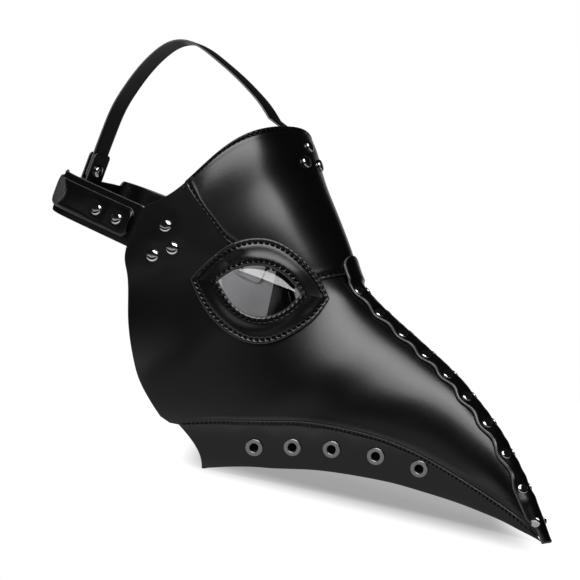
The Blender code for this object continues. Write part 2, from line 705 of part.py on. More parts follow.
lanes = np.linspace(-1, 1, 5)
tab_s = np.linspace(SIDE_STRAP_FRONT, 4.0, 8)
tab_half = 0.5 * (SIDE_STRAP_WIDTH + (SIDE_TAB_WIDTH - SIDE_STRAP_WIDTH) * smooth((tab_s - 8) / 10))
S, W = grid(tab_s, lanes)
W = W * tab_half[:, None]
tab_outer, tab_inner = strap_inside(S, W, -GAP), strap_inside(S, W, -GAP - STRAP_THICK)
free_s = np.concatenate([[3.0, 9.0], np.linspace(17.0, SIDE_STRAP_END, 14)])
S, W = grid(free_s, lanes * 0.5 * SIDE_STRAP_WIDTH)
side_outer = np.concatenate([tab_outer, strap_point(S, W, np.zeros(S.shape))])
side_inner = np.concatenate([tab_inner, strap_point(S, W, np.full(S.shape, -STRAP_THICK))])
side_straps = {}
for hand, flip in (("right", False), ("left", True)):
    side_straps[hand] = solid("side_strap_" + hand, side_outer, side_inner, strap_leather, mirrored=flip)

LOOP_END = PLAN_STRAIGHT + plan[-1, 1]
loop_s = np.concatenate([np.linspace(BACK_STRAP_FRONT, PLAN_STRAIGHT, 22), [LOOP_END]])
S, W = grid(loop_s, np.linspace(-0.5, 0.5, 4) * BACK_STRAP_WIDTH)
half_outer = strap_point(S, W, np.full(S.shape, GAP + STRAP_THICK))
half_inner = strap_point(S, W, np.full(S.shape, GAP))
mirror = np.array([1.0, -1.0, 1.0])
back_strap = solid("back_strap", np.concatenate([half_outer, half_outer[-2::-1] * mirror]),
                   np.concatenate([half_inner, half_inner[-2::-1] * mirror]), strap_leather)

strap_plugs, tab_plugs = [], []
for k, s in enumerate(BACK_RIVETS, 1):
    one, zero = np.array([s]), np.zeros(1)
    place = strap_point(one, zero, zero)[0]
    normal = strap_point(one, zero, zero + 1)[0] - place
    plug = drill(place, normal, STRAP_THICK + 3, -STRAP_THICK - 3)
    strap_plugs += [plug, both_hands(plug)]
    tab_plugs.append(plug)
    for hand, flip in (("right", False), ("left", True)):
        name = f"strap_rivet_{hand}_{k}"
        rivet(name, place, normal, GAP + STRAP_THICK, -STRAP_THICK, CAP_R, CAP_H, steel, flip)
for k, (x, z) in enumerate(SIDE_RIVETS, 1):
    one_t, one_u = locate(np.array([x]), np.array([z]))
    place, normal = skin(one_t, one_u)[0], normals(skin, one_t, one_u)[0]
    plug = drill(place, normal, LEATHER + 4, -GAP - STRAP_THICK - 4)
    panel_plugs.append(plug)
    tab_plugs.append(plug)
    for hand, flip in (("right", False), ("left", True)):
        name = f"side_rivet_{hand}_{k}"
        rivet(name, place, normal, LEATHER, -GAP - STRAP_THICK, CAP_R, CAP_H, steel, flip)

# Strap loop: a strip folded up round the back strap, holding the top strap's end between its legs
rear = strap_point(np.array([LOOP_END]), np.zeros(1), np.array([GAP + STRAP_THICK / 2]))[0]
UP = np.array([WIDE_DIR[0], 0.0, WIDE_DIR[1]])
OUT = np.array([BACK_DIR[0], 0.0, BACK_DIR[1]])
slot = STRAP_THICK / 2 + KEEPER_ROOM
foot = BACK_STRAP_WIDTH / 2 + KEEPER_ROOM
side, bottom = slot + LEATHER, foot + LEATHER
inside = [(-slot, KEEPER_RISE), (-slot, -foot), (slot, -foot), (slot, KEEPER_RISE)]
outside = [
    (-side, KEEPER_RISE), (-side, FOLD - bottom), (FOLD - side, -bottom), (side - FOLD, -bottom),
    (side, FOLD - bottom), (side, KEEPER_RISE),
]
loop_line = np.array(inside + outside[::-1])
ends = []
for y in (-KEEPER_WIDTH / 2, KEEPER_WIDTH / 2):
    ends += [rear + n * OUT + m * UP + np.array([0, y, 0]) for n, m in loop_line]
count = len(loop_line)
faces = [(k, (k + 1) % count, (k + 1) % count + count, k + count) for k in range(count)]
pairs = [(0, 1, 8, 9), (1, 2, 6, 7, 8), (2, 3, 4, 5, 6)]
faces += [loop[::-1] for loop in pairs] + [tuple(v + count for v in loop) for loop in pairs]
points = np.array(ends)
keeper = add("strap_loop", points, oriented(points, faces), strap_leather)
keeper_place = rear + KEEPER_RIVET * UP
keeper_rivet = rivet("strap_loop_rivet", keeper_place, -OUT, side, -side, CAP_R, CAP_H, steel)
keeper_plug = drill(keeper_place, OUT, side + 8, -side - 8)
cut(keeper, [keeper_plug])

# Top strap: tab inside the forehead, then a free arch down to the strap loop
tab_t = np.linspace(TOP_TAB_FRONT, 8.0, 7)
tab_half = 0.5 * (TOP_STRAP_WIDTH + (TOP_TAB_WIDTH - TOP_STRAP_WIDTH) * smooth((tab_t - 9) / 12))
lanes = np.linspace(-1, 1, 7)
T, W = grid(tab_t, lanes)
U = np.sign(W) * u_at(T, np.abs(W) * tab_half[:, None])
tab_outer = skin_offset(T, U, np.full(T.shape, STEP - GAP))
tab_inner = skin_offset(T, U, np.full(T.shape, STEP - GAP - STRAP_THICK))
lower = np.array([rear + m * UP for m in (foot + 0.6, KEEPER_RIVET, KEEPER_RISE + 1.5)])[:, [0, 2]]
path = np.vstack([TOP_STRAP_PATH[::-1], lower[::-1]])
slope = np.gradient(path, axis=0)
slope /= np.linalg.norm(slope, axis=1, keepdims=True)
slope[-3:] = -WIDE_DIR
out = np.stack([-slope[:, 1], slope[:, 0]], -1) * -1
flat = -lanes * 0.5 * TOP_STRAP_WIDTH


def arch(off):
    side = path + off * out
    return np.stack(np.broadcast_arrays(side[:, None, 0], flat[None, :], side[:, None, 1]), -1)


top_strap = solid("top_strap", np.concatenate([tab_outer, arch(STRAP_THICK / 2)]),
                  np.concatenate([tab_inner, arch(-STRAP_THICK / 2)]), strap_leather)
top_plugs = [keeper_plug]
tab_side = TOP_TAB_WIDTH / 2 - TAB_RIVET_IN
tab_rivets = ((TAB_RIVET_TOP, 0.0), (TAB_RIVET_LOW, tab_side), (TAB_RIVET_LOW, -tab_side))
for k, (t, wide) in enumerate(tab_rivets, 1):
    one_t = np.array([t])
    one_u = np.sign(wide) * u_at(one_t, np.array([abs(wide)]))
    place, normal = skin(one_t, one_u)[0], normals(skin, one_t, one_u)[0]
    rivet(f"forehead_rivet_{k}", place, normal, STACK, STEP - GAP - STRAP_THICK, CAP_R, CAP_H, steel)
    plug = drill(place, normal, STACK + 4, STEP - GAP - STRAP_THICK - 4)
    forehead_plugs.append(plug)
    top_plugs.append(plug)

cut(forehead, forehead_plugs)
cut(strip, strip_plugs)
cut(back_strap, strap_plugs)
cut(top_strap, top_plugs)
for hand, flip in (("right", False), ("left", True)):
    cut(panels[hand], panel_plugs, flip)
    cut(bands[hand], band_plugs, flip)
    cut(side_straps[hand], tab_plugs, flip)

# The origin is below the middle of the box round all pieces. The strap loop hangs on its slide's axis.
everything = np.array([v.co.x for node in nodes for v in node.data.vertices])
middle = (everything.min() + everything.max()) / 2
for piece in nodes + helpers:
    piece.data.transform(Matrix.Translation((-middle, 0, 0)))
slide = bpy.data.objects.new("strap_slide", None)
bpy.context.scene.collection.objects.link(slide)
slide.location = Vector(rear * MM) - Vector((middle, 0, 0))
for piece in (keeper, keeper_rivet):
    piece.data.transform(Matrix.Translation(-slide.location))
    piece.parent = slide
    for modifier in piece.modifiers:
        modifier.object.data.transform(Matrix.Translation(-slide.location))
        modifier.object.parent = slide
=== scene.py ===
"""Looks of a plague doctor mask in black leather, standing on a white studio floor.

Shapes are in millimetres in the mask's own frame (+X along the beak, +Z up, the photographed side at -Y)
and move to the part's frame, in metres, when a piece is made. The shell is a skin of ribs: each rib leaves
the front profile and ends on the rear edge or the jaw seam, and every leather piece is a layer of that skin.
"""

import math

import bpy
import numpy as np
from mathutils import Matrix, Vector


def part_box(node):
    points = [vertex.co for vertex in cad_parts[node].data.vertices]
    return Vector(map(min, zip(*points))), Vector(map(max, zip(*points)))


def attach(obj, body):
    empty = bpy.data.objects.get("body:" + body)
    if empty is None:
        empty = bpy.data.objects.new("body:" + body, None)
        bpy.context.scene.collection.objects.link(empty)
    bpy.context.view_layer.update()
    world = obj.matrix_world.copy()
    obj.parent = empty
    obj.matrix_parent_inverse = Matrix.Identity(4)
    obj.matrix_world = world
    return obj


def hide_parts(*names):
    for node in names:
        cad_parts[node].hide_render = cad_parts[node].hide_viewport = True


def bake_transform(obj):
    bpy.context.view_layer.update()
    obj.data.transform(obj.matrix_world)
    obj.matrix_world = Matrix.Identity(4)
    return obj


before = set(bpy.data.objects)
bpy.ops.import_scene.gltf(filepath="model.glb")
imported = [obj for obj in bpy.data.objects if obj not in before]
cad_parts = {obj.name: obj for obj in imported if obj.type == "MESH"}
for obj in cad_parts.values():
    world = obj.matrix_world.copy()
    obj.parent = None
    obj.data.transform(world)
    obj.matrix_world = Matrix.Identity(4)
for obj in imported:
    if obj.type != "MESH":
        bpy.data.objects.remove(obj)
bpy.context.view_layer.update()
MM = 0.001

# Leather and its laps
LEATHER = 1.6
GAP = 0.4
STEP = LEATHER + GAP
SEAM_LAP = 7.0
JAW_LAP = 4.0

# Shell stations, in mm: front profile (x, z), rib end (x, z), half width there, nose radius, nose half width
STATIONS = np.array([
    (3, 241, -64, 170, 72.5, 60, 68),
    (12, 229.5, -71, 140, 74.5, 58, 66),
    (20, 215.5, -67.5, 124, 74.5, 54, 65),
    (39.5, 187.5, -61.4, 93, 71.5, 42, 62),
    (58.5, 159.5, -52.5, 61.5, 65.5, 29, 58),
    (69.5, 143.5, -38.7, 40.5, 61.5, 22, 55),
    (77, 137, -21.6, 25, 58.5, 19, 52),
    (85, 131.5, -7.3, 19, 55.5, 17, 48),
    (109.5, 117.5, 22, 24, 48.5, 14, 41),
    (129.5, 106.5, 54, 36.5, 41, 12, 35),
    (154, 92, 92.5, 45.5, 33.5, 10.5, 28.5),
    (170.5, 79.5, 121, 46.5, 27.5, 9, 23),
    (188, 64.5, 150.5, 40.5, 21, 7.5, 17.5),
    (206, 44.5, 180.5, 30, 14.5, 6, 12),
    (220, 26.5, 205, 20, 8.8, 4.5, 7.6),
    (230, 11.5, 222.5, 11.5, 5.6, 3.2, 4.2),
    (234, 5, 229, 6.5, 3.6, 2.6, 2.8),
])
# Jaw seam in the side view, where the ribs behind the bridge are trimmed
JAW_SEAM = np.array([
    (-45, 23), (-27, 27), (5.5, 35), (36.5, 41), (64.5, 46.5), (82, 48), (112.5, 47.5), (144, 42),
    (170, 31.5), (193, 22), (216.5, 11), (236, 0),
])
JAW_FROM = 6  # the station where the rear edge turns into the jaw seam
# Lower edge of the jaw band at the stations from JAW_FROM on: x, half width, z
JAW_EDGE = np.array([
    (0, 42, 0.5),
    (20, 40.5, 5.5),
    (49, 35.5, 10.5),
    (72, 31, 14.5),
    (101, 24.5, 17.3),
    (127, 19, 18),
    (152, 13, 16.5),
    (180, 9, 13.8),
    (205, 5.6, 9.6),
    (222.5, 4, 5.8),
    (231.5, 3.2, 2.8),
])
# Sway of the first ribs and bow of the jaw's rear edge, and the rib lengths over which they fade
TOP_SWAY, TOP_SWAY_LONG = 5.0, 18.0
JAW_REAR_BOW, JAW_BOW_LONG = 7.5, 9.0
# Bulge of a jaw band as deep as JAW_DEEP, outwards, and its share downwards
JAW_BULGE, JAW_DEEP, JAW_SAG = 1.5, 40.0, 0.6

# Seam between forehead and side panel, as points of the side view: ridge, behind the lens, top edge
SEAM = np.array([
    (68.5, 148.6), (61.5, 146.4), (52.5, 140.5), (25.0, 140.0), (-5.7, 156.0), (-22.7, 172.1),
    (-41.0, 188.6),
])

# Eye, in the side view: corners and curved edges of the surround and of its opening
SURROUND = np.array([
    (-24, 126.5), (-12, 144.5), (1, 157), (18, 162), (36, 155.5), (49, 144.5), (62, 129),
    (58, 116), (49, 104.5), (36, 94.5), (23, 91), (6, 95), (-11, 107.5),
])
OPENING = np.array([
    (-6, 129), (3, 138), (12, 142.5), (22, 143.5), (34, 139), (44.5, 129), (38, 118), (23, 110), (8, 114),
])
SURROUND_ROOM = 0.9
# Ramp under the eye surround from one lap to two, on its back and its face: start before the seam, and length
BACK_RAMP, FACE_RAMP = (11.0, 8.0), (24.0, 30.0)
LENS_LIP = 3.0
LENS_ROOM = 1.8
LENS_THICK = 1.0
RETAINER_ROOM = 1.0
RETAINER_LIP = 5.0
RETAINER_HOLD = 2.0

# Ridge strip
STRIP_HALF, STRIP_HALF_TIP = 12.2, 9.2
SCALLOP = 1.2
STRIP_TAB = 15.0
TONGUE_HALF = 5.0
STRIP_CLEAR = 2.0

# Rivets and eyelets
CAP_R, CAP_H = 4.5, 2.0
RIDGE_CAP_R, RIDGE_CAP_H = 3.6, 1.1
POST_R = 1.4
BACK_R, BACK_H = 2.7, 0.8
CAP_ROOM = 0.3
BACK_ROOM = 0.55
RIDGE_FIRST = 11.7
RIDGE_RIVETS = (0.0, 22.4, 44.4, 66.3, 86.6, 106.5, 128.9, 152.6, 178.0)
TIP_RIVET_BACK = 8.5
TIP_CAP_R, TIP_ROOM = 3.3, 1.3
RIDGE_SIDE, RIDGE_SIDE_TIP = 7.8, 4.8
SIDE_RIVETS = ((-47.3, 158.5), (-39.6, 144.3), (-52.0, 137.0))
EYELETS = ((29.5, 0.52), (55.0, 0.5), (80.0, 0.46), (105.5, 0.41), (130.0, 0.34))
EYELET_R, EYELET_HOLE_R, EYELET_RIM = 6.0, 3.0, 1.1
EYELET_WALL = 0.5

# Head straps, with the length over which their twist at the side panel fades
TWIST_LONG = 18.0
STRAP_TILT = math.radians(11.0)
STRAP_THICK = 1.8
SIDE_STRAP_WIDTH = 30.0
BACK_STRAP_WIDTH = 21.0
STRAP_ROOT = (-67.7, 153.9)
SIDE_STRAP_FRONT = 40.0
SIDE_TAB_WIDTH = 38.0
BACK_STRAP_FRONT = 5.6
# Plan of the strap loop's right half behind the side panel: distance back, half width
LOOP_PLAN = np.array([
    (20.0, 70.6), (40.0, 67.4), (60.0, 63.6), (72.5, 59.0), (80.5, 51.5), (85.0, 43.0), (87.0, 34.0),
])
SIDE_STRAP_END = 99.0
BACK_RIVETS = (17.0, 36.0)
TOP_STRAP_WIDTH = 21.0
TOP_TAB_WIDTH = 33.0
TOP_TAB_FRONT = 34.0
TAB_RIVET_TOP, TAB_RIVET_LOW, TAB_RIVET_IN = 14.5, 26.5, 5.0
KEEPER_WIDTH = 23.0
KEEPER_RISE = 30.5
KEEPER_RIVET = 18.0
KEEPER_ROOM = 0.35
TOP_STRAP_PATH = np.array([
    (-144.8, 219), (-140.5, 236), (-133.5, 252), (-124.5, 267.5), (-114.5, 280), (-104.5, 288), (-93.5, 291),
    (-81, 288.8), (-66, 281.8), (-50, 273), (-36, 264), (-23.5, 254.5), (-15, 246),
])

def spline(knots, values):
    """Returns the natural cubic through the values at these knots, as a function of numpy arrays."""
    knots = np.asarray(knots, float)
    values = np.asarray(values, float)
    shape = values.shape[1:]
    values = values.reshape(len(knots), -1)
    h = np.diff(knots)
    system = np.eye(len(knots))
    right = np.zeros_like(values)
    for k in range(1, len(knots) - 1):
        system[k, k - 1:k + 2] = h[k - 1], 2 * (h[k - 1] + h[k]), h[k]
        right[k] = 6 * ((values[k + 1] - values[k]) / h[k] - (values[k] - values[k - 1]) / h[k - 1])
    bend = np.linalg.solve(system, right)

    def at(x):
        x = np.asarray(x, float)
        k = np.clip(np.searchsorted(knots, x) - 1, 0, len(h) - 1)
        a = ((knots[k + 1] - x) / h[k])[..., None]
        b = 1 - a
        wide = (h[k] ** 2 / 6)[..., None]
        inside = a * values[k] + b * values[k + 1] + wide * ((a**3 - a) * bend[k] + (b**3 - b) * bend[k + 1])
        over = np.maximum(x - knots[-1], 0)[..., None]
        slope = (values[-1] - values[-2]) / h[-1]
        inside = np.where(over > 0, values[-1] + over * slope, inside)
        return inside.reshape(x.shape + shape)

    return at

def smooth(x):
    """Eased step from 0 at x = 0 to 1 at x = 1, flat at both ends."""
    x = np.clip(x, 0, 1)
    return x * x * (3 - 2 * x)

def unit(vectors):
    """Vectors scaled to length 1."""
    return vectors / np.linalg.norm(vectors, axis=-1, keepdims=True)

def lengths(path):
    """Length along a path of points, from its first one."""
    return np.concatenate([[0.0], np.cumsum(np.linalg.norm(np.diff(path, axis=0), axis=1))])

profile = STATIONS[:, :2]
arc = lengths(profile)
station = spline(arc, STATIONS)
jaw = spline(arc[JAW_FROM:], JAW_EDGE)
T_JAW, T_END = arc[JAW_FROM], arc[-1]

def rib(t, s):
    """Side view point and half width at fraction s of the rib that leaves the profile at length t."""
    row = station(t)
    front, end = row[..., 0:2], row[..., 2:4]
    long = np.linalg.norm(end - front, axis=-1)
    wide, nose, flat = row[..., 4], row[..., 5], row[..., 6]
    depth = s * long
    swell = flat * np.sqrt(1 - np.exp(-2 * depth * nose / flat**2))
    full = flat * np.sqrt(1 - np.exp(-2 * long * nose / flat**2))
    point = front + s[..., None] * (end - front)
    sway = TOP_SWAY * np.sin(2 * np.pi * np.clip(s, 0, 1)) * np.exp(-((t / TOP_SWAY_LONG) ** 2))
    return point[..., 0], point[..., 1] + sway, swell + (wide - full) * s

def rib_trim():
    """Fraction of each rib that lies above the jaw seam, by halving, as lengths t and fractions."""
    t = np.linspace(0, T_END, 500)
    low, high = np.full(t.shape, 0.3), np.ones(t.shape)
    seam_z = spline(JAW_SEAM[:, 0], JAW_SEAM[:, 1])
    for _ in range(40):
        mid = (low + high) / 2
        x, z, _ = rib(t, mid)
        above = (z > seam_z(x)) | (x < JAW_SEAM[0, 0])
        low, high = np.where(above, mid, low), np.where(above, high, mid)
    return t, low

trim_t, trim_s = rib_trim()

def skin_side(t, u):
    """Side view point and half width: u squared is the trimmed rib's fraction, so the ridge is smooth."""
    return rib(t, u * u * np.interp(t, trim_t, trim_s))

def skin(t, u):
    """Right half of the shell's inner face, left half for negative u."""
    x, z, half = skin_side(t, u)
    return np.stack([x, -np.sign(u) * half, z], -1)

def jaw_skin(t, b):
    """Inner face of the right jaw band, from the seam (b = 0) to the lower edge (b = 1)."""
    top = skin(t, np.ones_like(t))
    row = jaw(t)
    low = np.stack([row[..., 0], -row[..., 1], row[..., 2]], -1)
    point = top + b[..., None] * (low - top)
    arch = np.sin(np.pi * np.clip(b, 0, 1))
    point[..., 0] += JAW_REAR_BOW * arch * np.exp(-((t - T_JAW) / JAW_BOW_LONG))
    drop = np.linalg.norm(low - top, axis=-1)
    point[..., 1] -= JAW_BULGE * arch * drop / JAW_DEEP
    point[..., 2] -= JAW_SAG * JAW_BULGE * arch * drop / JAW_DEEP
    return point

def normals(surface, a, b, da=0.05, db=0.002):
    """Outward unit normals of a surface of two parameters, by differences."""
    along = surface(a + da, b) - surface(a - da, b)
    across = surface(a, b + db) - surface(a, b - db)
    return unit(np.cross(across, along))

def laid(surface, a, b):
    """Points of a surface and its outward normals there."""
    return surface(a, b), normals(surface, a, b)

def skin_offset(t, u, off):
    """Point of the skin moved outwards along its normal."""
    points, out = laid(skin, t, u)
    return points + out * np.asarray(off)[..., None]

def locate(x, z):
    """Finds the rib length and root fraction of side view points, by Newton steps."""
    x, z = np.asarray(x, float), np.asarray(z, float)
    ts, us = np.meshgrid(np.linspace(1, T_END - 1, 90), np.linspace(0.05, 1, 40), indexing="ij")
    gx, gz, _ = skin_side(ts, us)
    near = np.argmin((gx.ravel() - x[..., None]) ** 2 + (gz.ravel() - z[..., None]) ** 2, axis=-1)
    t, u = ts.ravel()[near], us.ravel()[near]
    for _ in range(12):
        x0, z0, _ = skin_side(t, u)
        xt, zt, _ = skin_side(t + 0.01, u)
        xu, zu, _ = skin_side(t, u + 0.0005)
        a, c = (xt - x0) / 0.01, (zt - z0) / 0.01
        b, d = (xu - x0) / 0.0005, (zu - z0) / 0.0005
        det = a * d - b * c
        t = t + np.clip(((x - x0) * d - (z - z0) * b) / det, -6, 6)
        u = np.clip(u + np.clip(((z - z0) * a - (x - x0) * c) / det, -0.1, 0.1), 0.02, 1.4)
    return t, u

SEAM_STEPS = 10
seam_run = np.linspace(0, len(SEAM) - 1, SEAM_STEPS * (len(SEAM) - 1) + 1)
seam_x, seam_z = (np.interp(seam_run, np.arange(len(SEAM)), SEAM[:, k]) for k in (0, 1))
seam_t, seam_u = locate(seam_x, seam_z)
seam_u = np.maximum.accumulate(seam_u)
seam_u[0], seam_t[-1] = 0.0, 1.0
U_TOP = seam_u[-1]
T_BRIDGE = seam_t[0]

def seam_at(u):
    """Rib length at which the seam crosses this root fraction."""
    return np.interp(u, seam_u, seam_t)

def frame_of(normal):
    """Two unit directions across a normal, and the unit normal."""
    normal = unit(np.asarray(normal, float))
    side = unit(np.cross((0.0, 0.0, 1.0) if abs(normal[2]) < 0.9 else (1.0, 0.0, 0.0), normal))
    return side, np.cross(normal, side), normal

def outline_of(points, count):
    """Closed outline with two sharp corners, evenly sampled between them, count points a side."""
    sides = []
    front = points[:, 0].argmax()
    for some in (points[:front + 1], np.vstack([points[front:], points[:1]])):
        length = lengths(some)
        sides.append(spline(length, some)(np.linspace(0, length[-1], count + 1)[:-1]))
    return np.vstack(sides)

def grown(points, by):
    """The outline moved outwards by a distance, along the mean normal of its neighbours."""
    along = np.roll(points, -1, axis=0) - np.roll(points, 1, axis=0)
    return points + by * unit(np.stack([-along[:, 1], along[:, 0]], -1))

def drape(points, off):
    """Side view points laid on the skin and moved outwards."""
    t, u = locate(points[..., 0], points[..., 1])
    return skin_offset(t, u, off)

def lift(points, start, long):
    """Height over the inner skin, at side view points: one lap on the side panel and two on the forehead
    panel, joined by a ramp."""
    t, u = locate(points[..., 0], points[..., 1])
    return STEP * (1 + smooth((seam_at(u) + start - t) / long)) + SURROUND_ROOM

BACK_DIR = np.array([-math.cos(STRAP_TILT), math.sin(STRAP_TILT)])
WIDE_DIR = np.array([math.sin(STRAP_TILT), math.cos(STRAP_TILT)])
root = np.array(STRAP_ROOT)

def on_strap_plane(back, wide):
    """Side view point at a distance back along the tilted strap and a height across it."""
    return root + back[..., None] * BACK_DIR + wide[..., None] * WIDE_DIR

root_skin = drape(on_strap_plane(np.zeros(1), np.zeros(1)), np.full(1, -GAP))[0]
plan = np.vstack([[0.0, -root_skin[1]], LOOP_PLAN])
plan_arc = lengths(plan)
plan_at = spline(plan_arc, plan)
PLAN_STRAIGHT = plan_arc[-1]

def strap_point(s, wide, off):
    """Point of the strap loop at length s behind the panel's edge, height wide across, off outwards."""
    bent = np.minimum(s, PLAN_STRAIGHT)
    where = plan_at(bent)
    slope = plan_at(bent + 0.05) - plan_at(bent - 0.05)
    slope[s >= PLAN_STRAIGHT] = (0.0, -1.0)
    slope = unit(slope)
    over = np.maximum(s - PLAN_STRAIGHT, 0.0)
    lane = drape(on_strap_plane(np.zeros_like(wide), wide), np.full(wide.shape, -GAP))
    twist = (-lane[..., 1] - plan[0, 1]) * np.exp(-np.maximum(s, 0) / TWIST_LONG)
    back = where[..., 0] - off * slope[..., 1]
    half_y = where[..., 1] - over + off * slope[..., 0] + twist
    side = on_strap_plane(back, wide)
    return np.stack([side[..., 0], -half_y, side[..., 1]], -1)

# Looks of the leather, threads and metal, in mm
ROUND = 0.7
STITCH_PITCH, STITCH_LONG, STITCH_THICK = 3.8, 2.5, 1.7
JAW_PITCH, JAW_LONG, JAW_THICK = 3.0, 2.0, 0.8
STITCH_IN, TOP_IN, JAW_IN = 3.0, 2.4, 1.7
# How deep the threads lie in the seams and round the eyes
THREAD_SUNK, EYE_THREAD_SUNK = 0.2, 0.25
# How far round the rivets and eyelets the leather is drawn in, and how deep
SIDE_DIMPLE, BROW_DIMPLE, JAW_DIMPLE, RIDGE_DIMPLE = (6.0, 0.15), (6.5, 0.2), (8.0, 0.3), (4.6, 0.6)
# How pale the cut edges are: worn raw edge and a painted highlight along it
SIDE_WORN_AND_HIGHLIGHT, BROW_WORN_AND_HIGHLIGHT, JAW_WORN_AND_HIGHLIGHT, RIDGE_WORN_AND_HIGHLIGHT, EYE_WORN_AND_HIGHLIGHT = 0.2, 0.3, 0.25, 0.8, 0.5
# Radii of thinner rounded edges, and of the corners of cut strap ends
JAW_ROUND, RETAINER_ROUND = 0.5, 0.4
TAB_CORNER, SIDE_CORNER, BACK_CORNER, LOOP_CORNER = 5.0, 4.0, 4.5, 3.0
# The jaw band sinks to the side panel at the tip: share of a lap, start before the tip, and length
TUCK, TUCK_START, TUCK_LONG = 0.8, 16.0, 14.0
# The lens sheet: its height in the opening, and the line in side view above which it is bent back
LENS_HIGH, LENS_BEND, LENS_FALL = 2.8, 0.24, 0.04
LENS_FOLD = np.array([(9.0, 137.0), (44.0, 130.0)])
# The grey lining ends at this x
LINING_END = -21.0
# Nothing of the leather lies lower than this over the floor
FLOOR_ROOM = 0.05
# How far the ridge rivets press into the strip
RIDGE_SUNK = 0.75
# How far the eye surround rises towards the opening, on its two faces, and how far its lip falls there
SURROUND_RISE, SURROUND_RISE_IN, LIP_DROP = 2.6, 1.9, 1.3
# Back strap: the crown of its face, how far and wide the rivets draw it in, and the curved crease behind them
BACK_CROWN = 1.8
RIVET_PULL, RIVET_PULL_WIDE = 1.6, 9.5
CREASE, CREASE_BOW = 76.0, 9.0
# Past the crease the face is pressed in, and painted paler: a painted highlight line at the crease and a
# painted reflection of the bend past it, each up to a length and fading over another
PRESS_DEEP, PRESS_END, PRESS_FADE = 0.9, 96.0, 10.0
BEND_REFLECTION, CREASE_HIGHLIGHT_WIDE, BEND_REFLECTION_END, BEND_REFLECTION_FADE = 0.5, 0.9, 92.0, 6.0
# Where the strap loop slides, the back strap has no crown: half that length and the ease beside it
LOOP_TRAVEL, LOOP_EASE = 40.0, 18.0
# The jaw band's front end is drawn out: over this length, this far ahead and down
JAW_DRAWN, JAW_REACH = 28.0, (5.0, 0.0, -2.6)
HANDS = (("right", False), ("left", True))
STACK = STEP + LEATHER

ahead = (profile[-1] - profile[-2]) / (profile[-2, 1] - profile[-1, 1])
tongue = skin_offset(np.array([T_END]), np.zeros(1), np.array([STACK]))[0]
MIDDLE = tongue[0] + tongue[2] * ahead[0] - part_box("ridge_strip")[1].x / MM

def u_at(t, distance):
    """Root fraction whose arc from the ridge along its rib has this length: a row of distances for each t."""
    us = np.linspace(0, 1, 400)
    length = run(skin(*np.meshgrid(t, us, indexing="ij")), 1)
    return np.array([np.interp(far, one, us) for far, one in zip(distance, length)])

def run(points, axis):
    """Length along a grid's rows or columns, from their first point."""
    step = np.linalg.norm(np.diff(points, axis=axis), axis=-1)
    start = np.zeros_like(np.take(step, [0], axis))
    return np.concatenate([start, np.cumsum(step, axis=axis)], axis=axis)

def eased(count, ends=0.88):
    """Fractions from 0 to 1 that crowd towards both ends."""
    even = np.linspace(0, 1, count)
    return even - ends * np.sin(2 * np.pi * even) / (2 * np.pi)

def to_edge(points, rows=(False, False), cols=(False, False)):
    """Distance of each point of a grid from the nearest of the chosen edges, along the grid."""
    down, over = run(points, 0), run(points, 1)
    ways = (rows[0], down), (rows[1], down[-1:] - down), (cols[0], over), (cols[1], over[:, -1:] - over)
    return np.min([np.full(down.shape, 1e3)] + [far for chosen, far in ways if chosen], axis=0)

def rounding(far, radius=ROUND):
    """Drop of a face towards a cut edge: a quarter round of this radius."""
    share = np.clip(1 - far / radius, 0, 1)
    return radius * (1 - np.sqrt(1 - share**2))

def bell(distance, at, wide):
    """Gaussian bump of height 1 at a distance."""
    return np.exp(-(((distance - at) / wide) ** 2))

def stitch_count(path, pitch):
    """Length along a path counted in stitches, a whole number at the path's end."""
    length = lengths(path)
    return length * int(length[-1] / pitch) / length[-1]

def pits(count):
    """1 at the middle of each stitch and 0 between two stitches."""
    return 0.5 - 0.5 * np.cos(2 * np.pi * count)

def sewn_edge(far, pit, inset):
    """Height near a sewn edge: a rolled lip that puffs between the stitches, and a pit under each stitch."""
    lip = (0.28 - 0.18 * pit) * bell(far, 0.45 * inset, 0.4 * inset)
    return lip - (0.25 + 1.0 * pit) * bell(far, inset, 0.75) + 0.12 * bell(far, inset + 2.8, 1.8)

def dimples(points, centres, reach, deep):
    """Leather drawn in round rivets: a bell at each centre, with a faint swell round it."""
    total = np.zeros(points.shape[:-1])
    for centre in centres:
        far = np.linalg.norm(points - centre, axis=-1)
        total += deep * (0.35 * bell(far, 1.9 * reach, 0.6 * reach) - bell(far, 0, reach))
    return total

def ripple(points):
    """Slow unevenness of hand-formed leather: a few crossed waves of 25 to 60 mm."""
    x, z = points[..., 0], points[..., 2]
    return (0.05 * np.sin(x / 12.3 + z / 9.1) + 0.06 * np.sin(z / 11.7 - x / 8.3 + 1.3)
            + 0.02 * np.sin(x / 4.1 + z / 13.0 + 0.4))

def faces_of(base, out, face, back, drop):
    """Outer and inner face of a layer, at two heights along the normals, each drawn in by the edge's drop."""
    return base + (face - drop)[..., None] * out, base + (back + drop)[..., None] * out

def jaw_tuck(t):
    """Height of a jaw band's back over the skin: one lap, less towards the tip."""
    return STEP * (1 - TUCK * smooth((t - T_END + TUCK_START) / TUCK_LONG))

def faced_out(points, faces):
    """Turns every face round if their solid is inside out."""
    a, b, c, d = (points[faces[:, k]] for k in range(4))
    volume = np.einsum("ij,ij->", a, np.cross(b, c)) + np.einsum("ij,ij->", a, np.cross(c, d))
    return faces if volume > 0 else faces[:, ::-1]

